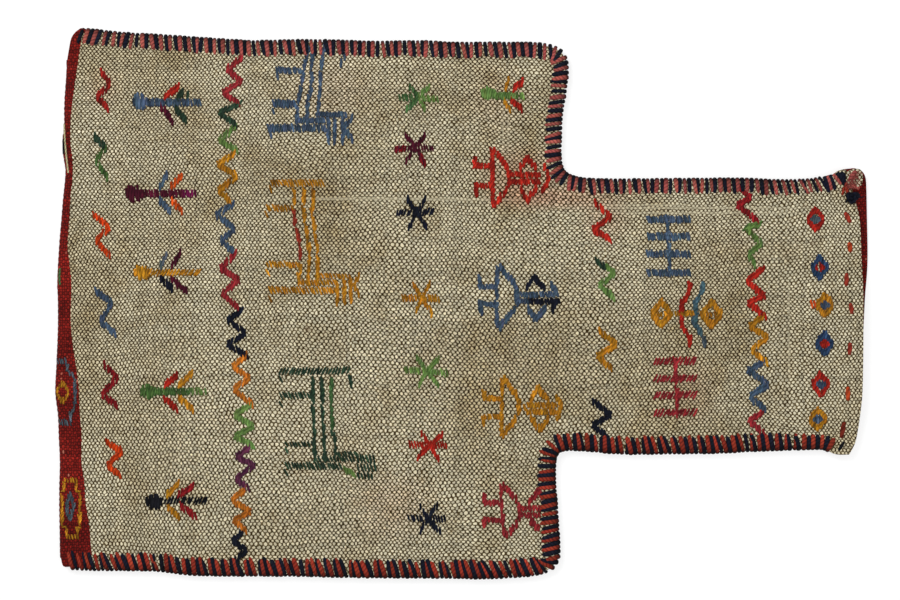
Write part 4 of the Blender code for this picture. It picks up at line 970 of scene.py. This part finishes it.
laid_floats("strip_motifs", [
    *thin("slate", ((57, 361), (67.5, 361)), tall=7),
    *thin(
        "slate", ((67.6, 363), (68, 371)), ((69, 371.5), (74, 376)), ((75.2, 376), (75.6, 408)),
        ((75, 408), (71.5, 412)), ((71, 411), (71, 421)),
    ),
    *thin("slate", ((59, 422.5), (72, 422.5)), tall=7),
    *thin("gold", ((56.6, 392), (62.8, 382), (69.4, 392), (62.8, 402), (56.6, 392)), tall=6.6),
    *thin("gold", ((64, 480.5), (78, 480.5)), ((65, 482), (64.6, 491)), ((77, 482), (77, 491))),
    (63.4, 491, 0, 5.4, 2.2, "gold"), (78.8, 491, 0, 5.6, 2.2, "gold"),
    *thin("gold", ((62.4, 493), (62.4, 526)), ((80.4, 493), (80.2, 526))),
    (64.4, 527, 0, 5.4, 2.2, "gold"), (79, 527, 0, 5, 2.2, "gold"),
    *thin("gold", ((66.6, 527), (67, 536)), ((77.4, 527), (78, 536)), ((66, 537), (79, 537))),
    *thin(
        "slate", ((66.4, 508), (70.4, 492), (74.6, 508)), ((74.6, 505), (70.4, 521), (66.4, 505)), tall=6.4,
    ),
], ["strip_bracket", "strip_half_diamond", "strip_cartouche", "strip_inner_diamond"], 41)


# Hem stitches
# One running thread of brick red wool holds the turned edge of the mouth.
laid_floats("hem_stitches", [
    (846.8, 218, 62, 11.5, 5.2, "brick"), (848.7, 247, 86, 12, 5.2, "rust"), (846.4, 280, 88, 14, 5, "brick"),
    (850.4, 308.6, 82, 14, 5.1, "brick"), (849, 349, 95, 15, 5.2, "brick"), (846.7, 393, 92, 14, 5, "rust"),
    (842.4, 429.5, 96, 16.5, 5.4, "brick"), (841, 446.2, 122, 9.5, 3.6, "black"),
], [f"hem_stitch_{k}" for k in range(1, 8)], 42)


# Overcast edges
# Wool yarn is wrapped round both layers all along the two sides, navy and salmon in turn on the
# upper one, navy and brick red on the lower one. The wraps fan out round the corners.
PLY_LENGTH, LINE_STEP = 0.0026, 0.0011


def wrap_tree():
    """Nodes that turn lines into flattened yarn."""
    tree, given, yarn = yarn_tree("wrapped_yarn")
    spot = given.node("GeometryNodeInputPosition", {}, {})
    loop = given.node("GeometryNodeCurvePrimitiveCircle", {}, {"Resolution": 8, "Radius": 1.0})
    sockets = {"Geometry": noted(loop, "around", spot), "Scale": (1.0, 0.58, 1.0)}
    flat = given.node("GeometryNodeTransform", {}, sockets)
    path = given.node("GeometryNodeMeshToCurve", {}, {"Mesh": given})
    thick = told(given, "thick", "FLOAT")
    sweep = {"Curve": path, "Profile Curve": flat, "Scale": thick, "Fill Caps": True}
    tube = given.node("GeometryNodeCurveToMesh", {}, sweep)
    parts = given.node("ShaderNodeSeparateXYZ", {}, {0: told(given, "around")})
    sockets = {0: told(given, "along", "FLOAT"), 1: parts, 2: parts.other(1)}
    finish_yarn(noted(tube, "ply", given.node("ShaderNodeCombineXYZ", {}, sockets)), yarn)
    return tree


def yarn_lines(name, lines, nodes, seed):
    """One piece of yarn lengths; a line is (places, half width at each, dye, brightness at each for painted
    shade).
    """
    rng = np.random.default_rng(seed)
    places, edges, thick, along, colours = [], [], [], [], []
    for points, widths, colour, shade in lines:
        first = len(places)
        travel = np.r_[0, np.cumsum(np.linalg.norm(np.diff(points, axis=0), axis=1))]
        tint = np.array(dye(YARN_DYES[colour]))
        tint[:3] *= 2.0 ** rng.normal(0, 0.22) * 2.0 ** rng.normal(0, 0.05, 3)
        places.extend(points)
        edges.extend((first + k, first + k + 1) for k in range(len(points) - 1))
        thick.extend(np.broadcast_to(widths, len(points)))
        along.extend(travel / PLY_LENGTH + rng.uniform(0, 2))
        # Each point's colour is darkened by the line's painted shade.
        painted_shade = np.broadcast_to(shade, len(points))[:, None]
        colours.extend(np.hstack([np.clip(tint[:3], 0, 0.95) * painted_shade, np.ones((len(points), 1))]))
    attributes = {
        "thick": ("FLOAT", thick), "along": ("FLOAT", along), "dye": ("FLOAT_COLOR", colours),
    }
    piece = grown(name, line_tree, places, edges, attributes, yarn_wool)
    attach(piece, "root")
    if nodes:
        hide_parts(*nodes)
    return piece


# Along each wrap, from its end on the face to its end underneath
WRAP_SHARES = np.array([1.0, 0.9, 0.7, 0.45, 0.20, 0.09, 0.025, 0.07, 0.3, 0.6, 0.8])
WRAP_SWELL = np.array([0.55, 0.85, 1, 1, 1, 1, 1, 1, 1, 0.9, 0.5])
# WRAP_SHADE is painted shade on each wrap: darkest where it turns round the cloth's outer edge, lighter again
# underneath.
WRAP_SHADE = np.array([0.9, 1, 1, 1, 0.6, 0.22, 0.10, 0.10, 0.4, 0.9, 0.9])
FACE_RISE = (-0.0005, 0.0002, 0.0004, 0.0004, 0.0001, -0.0007, 0.0)
EDGE_RISE = 0.0004
UNDER_HEIGHTS = (0.0020, 0.0014, 0.0013, 0.0015)
HALF_REACH = 0.0055
THIN_LENGTH, THIN_TURN, THIN_SHARE = 0.034, 0.012, 0.26


def travelled(edge):
    """Distance along the middle of the wraps of an edge."""
    steps = np.linalg.norm(np.diff(edge + inwards(edge) * HALF_REACH, axis=0), axis=1)
    return np.r_[0, np.cumsum(steps)]


def wraps(edge, first, last, pitch, dyes, reach, slant, width, seed):
    """Wraps in turn along an edge, from one distance along it to another, thinner in the last of it."""
    rng = np.random.default_rng(seed)
    inward = inwards(edge)
    travel = travelled(edge)
    lines = []
    at, turn = first, 0
    while at < last:
        at += pitch * rng.uniform(0.9, 1.1)
        spot = np.array([np.interp(at, travel, edge[:, k]) for k in (0, 1)])
        inner = np.array([np.interp(at, travel, inward[:, k]) for k in (0, 1)])
        inner /= np.linalg.norm(inner)
        ahead = np.array((-inner[1], inner[0])) * -1
        deep = reach(at) * rng.uniform(0.92, 1.08)
        lean = math.tan(math.radians(slant(at) + rng.normal(0, 5)))
        thinner = 1 - THIN_SHARE * smooth((at - last + THIN_LENGTH) / THIN_TURN)
        half = width / 2 * rng.uniform(0.8, 1.16) * thinner
        away = WRAP_SHARES * deep
        flat = spot + inner * away[:, None] + ahead * (lean * away)[:, None]
        low, _, _, top = lie(*flat.T)
        over = top[:7] + FACE_RISE
        over[6] = (low[6] + top[6]) / 2 + EDGE_RISE
        heights = np.r_[over, UNDER_HEIGHTS]
        lines.append((np.column_stack([flat, heights]), WRAP_SWELL * half, dyes[turn % 2], WRAP_SHADE))
        turn += 1
    return lines


def upper_slant(at):
    turns = (0, 0.021, 0.036, 0.047, 0.075, 0.345, 0.365, 0.43, 0.46, 0.53, 0.57, 0.582, 0.595)
    return np.interp(at, turns, (20, 18, 14, 2, -8, -6, -12, -12, -6, 0, -3, -9, -16))


def upper_reach(at):
    return np.interp(at, (0, 0.02, 0.3, 0.4, 0.46), (0.0095, 0.0112, 0.0112, 0.0115, 0.0108))


def lower_slant(at):
    turns = (0, 0.0137, 0.0165, 0.02, 0.03, 0.05, 0.08, 0.19, 0.21, 0.27, 0.29, 0.33, 0.4, 0.65)
    return np.interp(at, turns, (0, 0, -8, 4, 3, -8, -12, -13, -6, -6, -17, -20, -13, -17))


def lower_reach(at):
    turns = (0, 0.03, 0.06, 0.2, 0.27, 0.3, 0.36, 0.6)
    return np.interp(at, turns, (0.0095, 0.0105, 0.0126, 0.0125, 0.0122, 0.0136, 0.0128, 0.0126))


def over_cloth(squares, lift, half, colour, shade=1.0):
    """One length of yarn laid over the cloth through squares of the chart."""
    flat = run_through(laid(*squares), LINE_STEP)
    rise = np.interp(np.linspace(0, 1, len(flat)), np.linspace(0, 1, len(lift)), lift)
    return np.column_stack([flat, upper_side(*flat.T) + rise]), half, colour, shade


LOW_WRAP, HIGH_WRAP = (-0.0006, 0.0005, 0.0003, -0.0004), (-0.0006, 0.0008, 0.0006, -0.0004)
last_wraps = [
    over_cloth([(824.4, 176.4), (826, 182), (828.6, 192.5)], LOW_WRAP, 0.0015, "navy"),
    over_cloth([(827, 175.8), (829, 181), (831.4, 190)], LOW_WRAP, 0.0013, "salmon"),
    over_cloth([(829.8, 175), (832, 181), (835, 189.5)], LOW_WRAP, 0.0014, "navy"),
    over_cloth([(833.2, 174.2), (836.6, 178.6), (841, 184)], LOW_WRAP, 0.0013, "salmon"),
    over_cloth([(836.6, 173.4), (840.5, 177), (845.5, 184.5)], HIGH_WRAP, 0.0020, "navy"),
    over_cloth([(840.5, 172.6), (843.6, 175.6), (847, 181)], HIGH_WRAP, 0.0016, "navy"),
    over_cloth([(843.8, 187), (842.2, 195)], (0.0002, 0.0004, -0.0003), 0.0010, "brick"),
]
line_tree = wrap_tree()
first, last, pitch, width = 0.0172, travelled(upper_edge)[-1] - 0.0265, 0.00316, 0.0029
upper_wraps = wraps(upper_edge, first, last, pitch, ("navy", "salmon"), upper_reach, upper_slant, width, 51)
yarn_lines("upper_overcast_wraps", upper_wraps + last_wraps, ["upper_overcast"], 52)
first, last, pitch, width = 0.0107, travelled(lower_edge)[-1] - 0.008, 0.00304, 0.0032
lower_wraps = wraps(lower_edge, first, last, pitch, ("brick", "navy"), lower_reach, lower_slant, width, 53)
yarn_lines("lower_overcast_wraps", lower_wraps, ["lower_overcast"], 54)


# Ends at the corner of the mouth
# The cream cloth's corner is turned over. The salmon yarn ends over it as a short frayed tail, and
# the navy yarn is tied off in a knot beside it.
CORNER_RISE, CORNER_PUFF, CORNER_LENGTH = 0.0013, 0.0006, 0.006


def on_corner(flat, rise):
    x, y = flat[:, 0], flat[:, 1]
    centre = laid((852.5, 177.5))[0]
    away = np.hypot(x - centre[0], y - centre[1])
    height = upper_side(x, y) + CORNER_RISE + CORNER_PUFF * smooth(1 - away / CORNER_LENGTH) + rise
    return np.stack([x, y, height], axis=1)


corner_ring = run_through(laid(
    (845.5, 172.5), (852, 169.6), (859.3, 169.6), (861.8, 175.5), (861, 184), (856, 187), (849, 185.5),
    (845.5, 180), (845.5, 172.5),
), 0.0012)[:-1][::-1]
turned_corner = woven_sheet("turned_corner", corner_ring, face_warp, face_pick, on_corner, 61)
turned_corner.data.materials.append(cream_cloth)
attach(turned_corner, "root")

turns = np.linspace(0, math.tau, 40)
knot_middle = laid((851.3, 197.5))[0]
knot_height = upper_side(*knot_middle[:, None])[0]
knot = np.column_stack([
    knot_middle[0] + 0.00130 * (np.sin(turns) + 2 * np.sin(2 * turns)),
    knot_middle[1] + 0.00112 * (np.cos(turns) - 2 * np.cos(2 * turns)),
    knot_height + 0.0018 - 0.0008 * np.sin(3 * turns),
])
yarn_lines(
    "navy_knot",
    [
        (knot, 0.0019, "navy", 1.0),
        over_cloth([(853, 196), (858, 197.6), (863.6, 197)], (0.0012, 0.0004, 0.0003), 0.00045, "navy"),
        over_cloth([(847, 199), (845, 203)], (0.0010, 0.0002), 0.0005, "navy"),
    ],
    ["overcast_knot"], 62,
)

rng = np.random.default_rng(63)
tail = [
    over_cloth(
        [(855, 171.5), (851, 176), (847.6, 182.5)], (0.0018, 0.0028, 0.0024, 0.0010), 0.0016, "salmon",
    ),
    over_cloth([(845.5, 188), (852, 186.6), (858.5, 188)], (0.0006, 0.0024, 0.0008), 0.0015, "salmon"),
    over_cloth([(846, 183), (845.6, 188), (847.6, 193.5)], (0.0014, 0.0016, 0.0006), 0.0012, "brick"),
    over_cloth([(856, 173), (853.5, 178), (849.5, 184)], (0.0018, 0.0026, 0.0022, 0.0010), 0.0009, "salmon"),
]
for _ in range(90):
    share = rng.uniform(0, 1)
    spot = np.array((855, 173)) * (1 - share) + np.array((849, 188)) * share + rng.normal(0, (2.2, 1.6))
    bend = rng.normal(0, 1.7, (2, 2))
    hair = [spot, spot + bend[0] + (0, 1.5), spot + bend[0] + bend[1] + (0, 2.5)]
    tail.append(over_cloth(hair, rng.uniform(0.0020, 0.0038, 3), 0.00014, "salmon"))
yarn_lines("salmon_tail", tail, ["overcast_tail"], 64)


# Wear at the fold
# Where the red weft has worn through at the fold, a cream warp and a dark yarn lie bare.
yarn_lines(
    "worn_foot_yarns",
    [
        over_cloth(
            [(64.2, 124), (65, 136), (66.6, 154), (68.6, 173)],
            (0.0002, 0.0004, 0.0004, 0.0002), 0.0006, "sand",
        ),
        over_cloth([(64, 139), (64, 154)], (0.0002, 0.0005, 0.0002), 0.0009, "black"),
        over_cloth([(60.5, 268), (59.8, 277), (60.5, 285)], (0.0, 0.0003, 0.0), 0.0008, "leaf"),
    ],
    [], 65,
)


# Table, light and view
# The bag lies on a plain white table under soft light and is seen from straight above.
table = bpy.data.meshes.new("table")
table.from_pydata([(-4, -4, 0), (4, -4, 0), (4, 4, 0), (-4, 4, 0)], [], [(0, 1, 2, 3)])
table_top = placed("table", table)
white, start, shader = new_material("white_table")
ray = start.node("ShaderNodeLightPath", {}, {}, "Is Camera Ray")
seen = ray.maths("MAXIMUM", ray, ray.other("Is Glossy Ray"))
glow = start.node("ShaderNodeEmission", {}, {"Color": (1, 1, 1, 1), "Strength": 0.72})
matt = start.node("ShaderNodeBsdfDiffuse", {}, {"Color": (0.34, 0.34, 0.34, 1)})
bright = start.node("ShaderNodeAddShader", {}, {0: glow, 1: matt})
shader.inputs["Base Color"].default_value = (0.8, 0.8, 0.8, 1)
shader.inputs["Roughness"].default_value = 0.9
plain = Shade(start.tree, shader.outputs["BSDF"])
both = start.node("ShaderNodeMixShader", {}, {0: seen, 1: plain, 2: bright})
start.tree.links.new(both.socket, start.tree.nodes["Material Output"].inputs["Surface"])
table.materials.append(white)

world = bpy.data.worlds.new("studio")
world.use_nodes = True
bpy.context.scene.world = world
sky = Shade(world.node_tree)
ray = sky.node("ShaderNodeLightPath", {}, {})
world.node_tree.nodes["Background"].inputs["Color"].default_value = (1, 1, 1, 1)
SKY_LIGHT = 0.58
strength = SKY_LIGHT + ray * (1 - SKY_LIGHT)
world.node_tree.links.new(strength.socket, world.node_tree.nodes["Background"].inputs["Strength"])

for name, place, size, power in (
    ("window_light", (-0.9, 1.1, 1.5), 0.9, 22.0),
    ("fill_light", (1.2, -0.5, 1.7), 1.2, 8.0),
):
    lamp = bpy.data.lights.new(name, "AREA")
    lamp.size = size
    lamp.energy = power
    light = placed(name, lamp)
    light.location = place
    light.rotation_euler = Vector(place).to_track_quat("Z", "Y").to_euler()

PICTURE_WIDTH, BAG_MIDDLE = 900 * SQUARE, 0.006
camera = bpy.data.cameras.new("camera")
camera.lens = 85
camera.sensor_width = 36
view = placed("camera", camera)
middle = laid((450, 300))[0]
view.location = (*middle, BAG_MIDDLE + PICTURE_WIDTH * camera.lens / camera.sensor_width)
bpy.context.scene.camera = view
bpy.context.scene.view_settings.view_transform = "Standard"
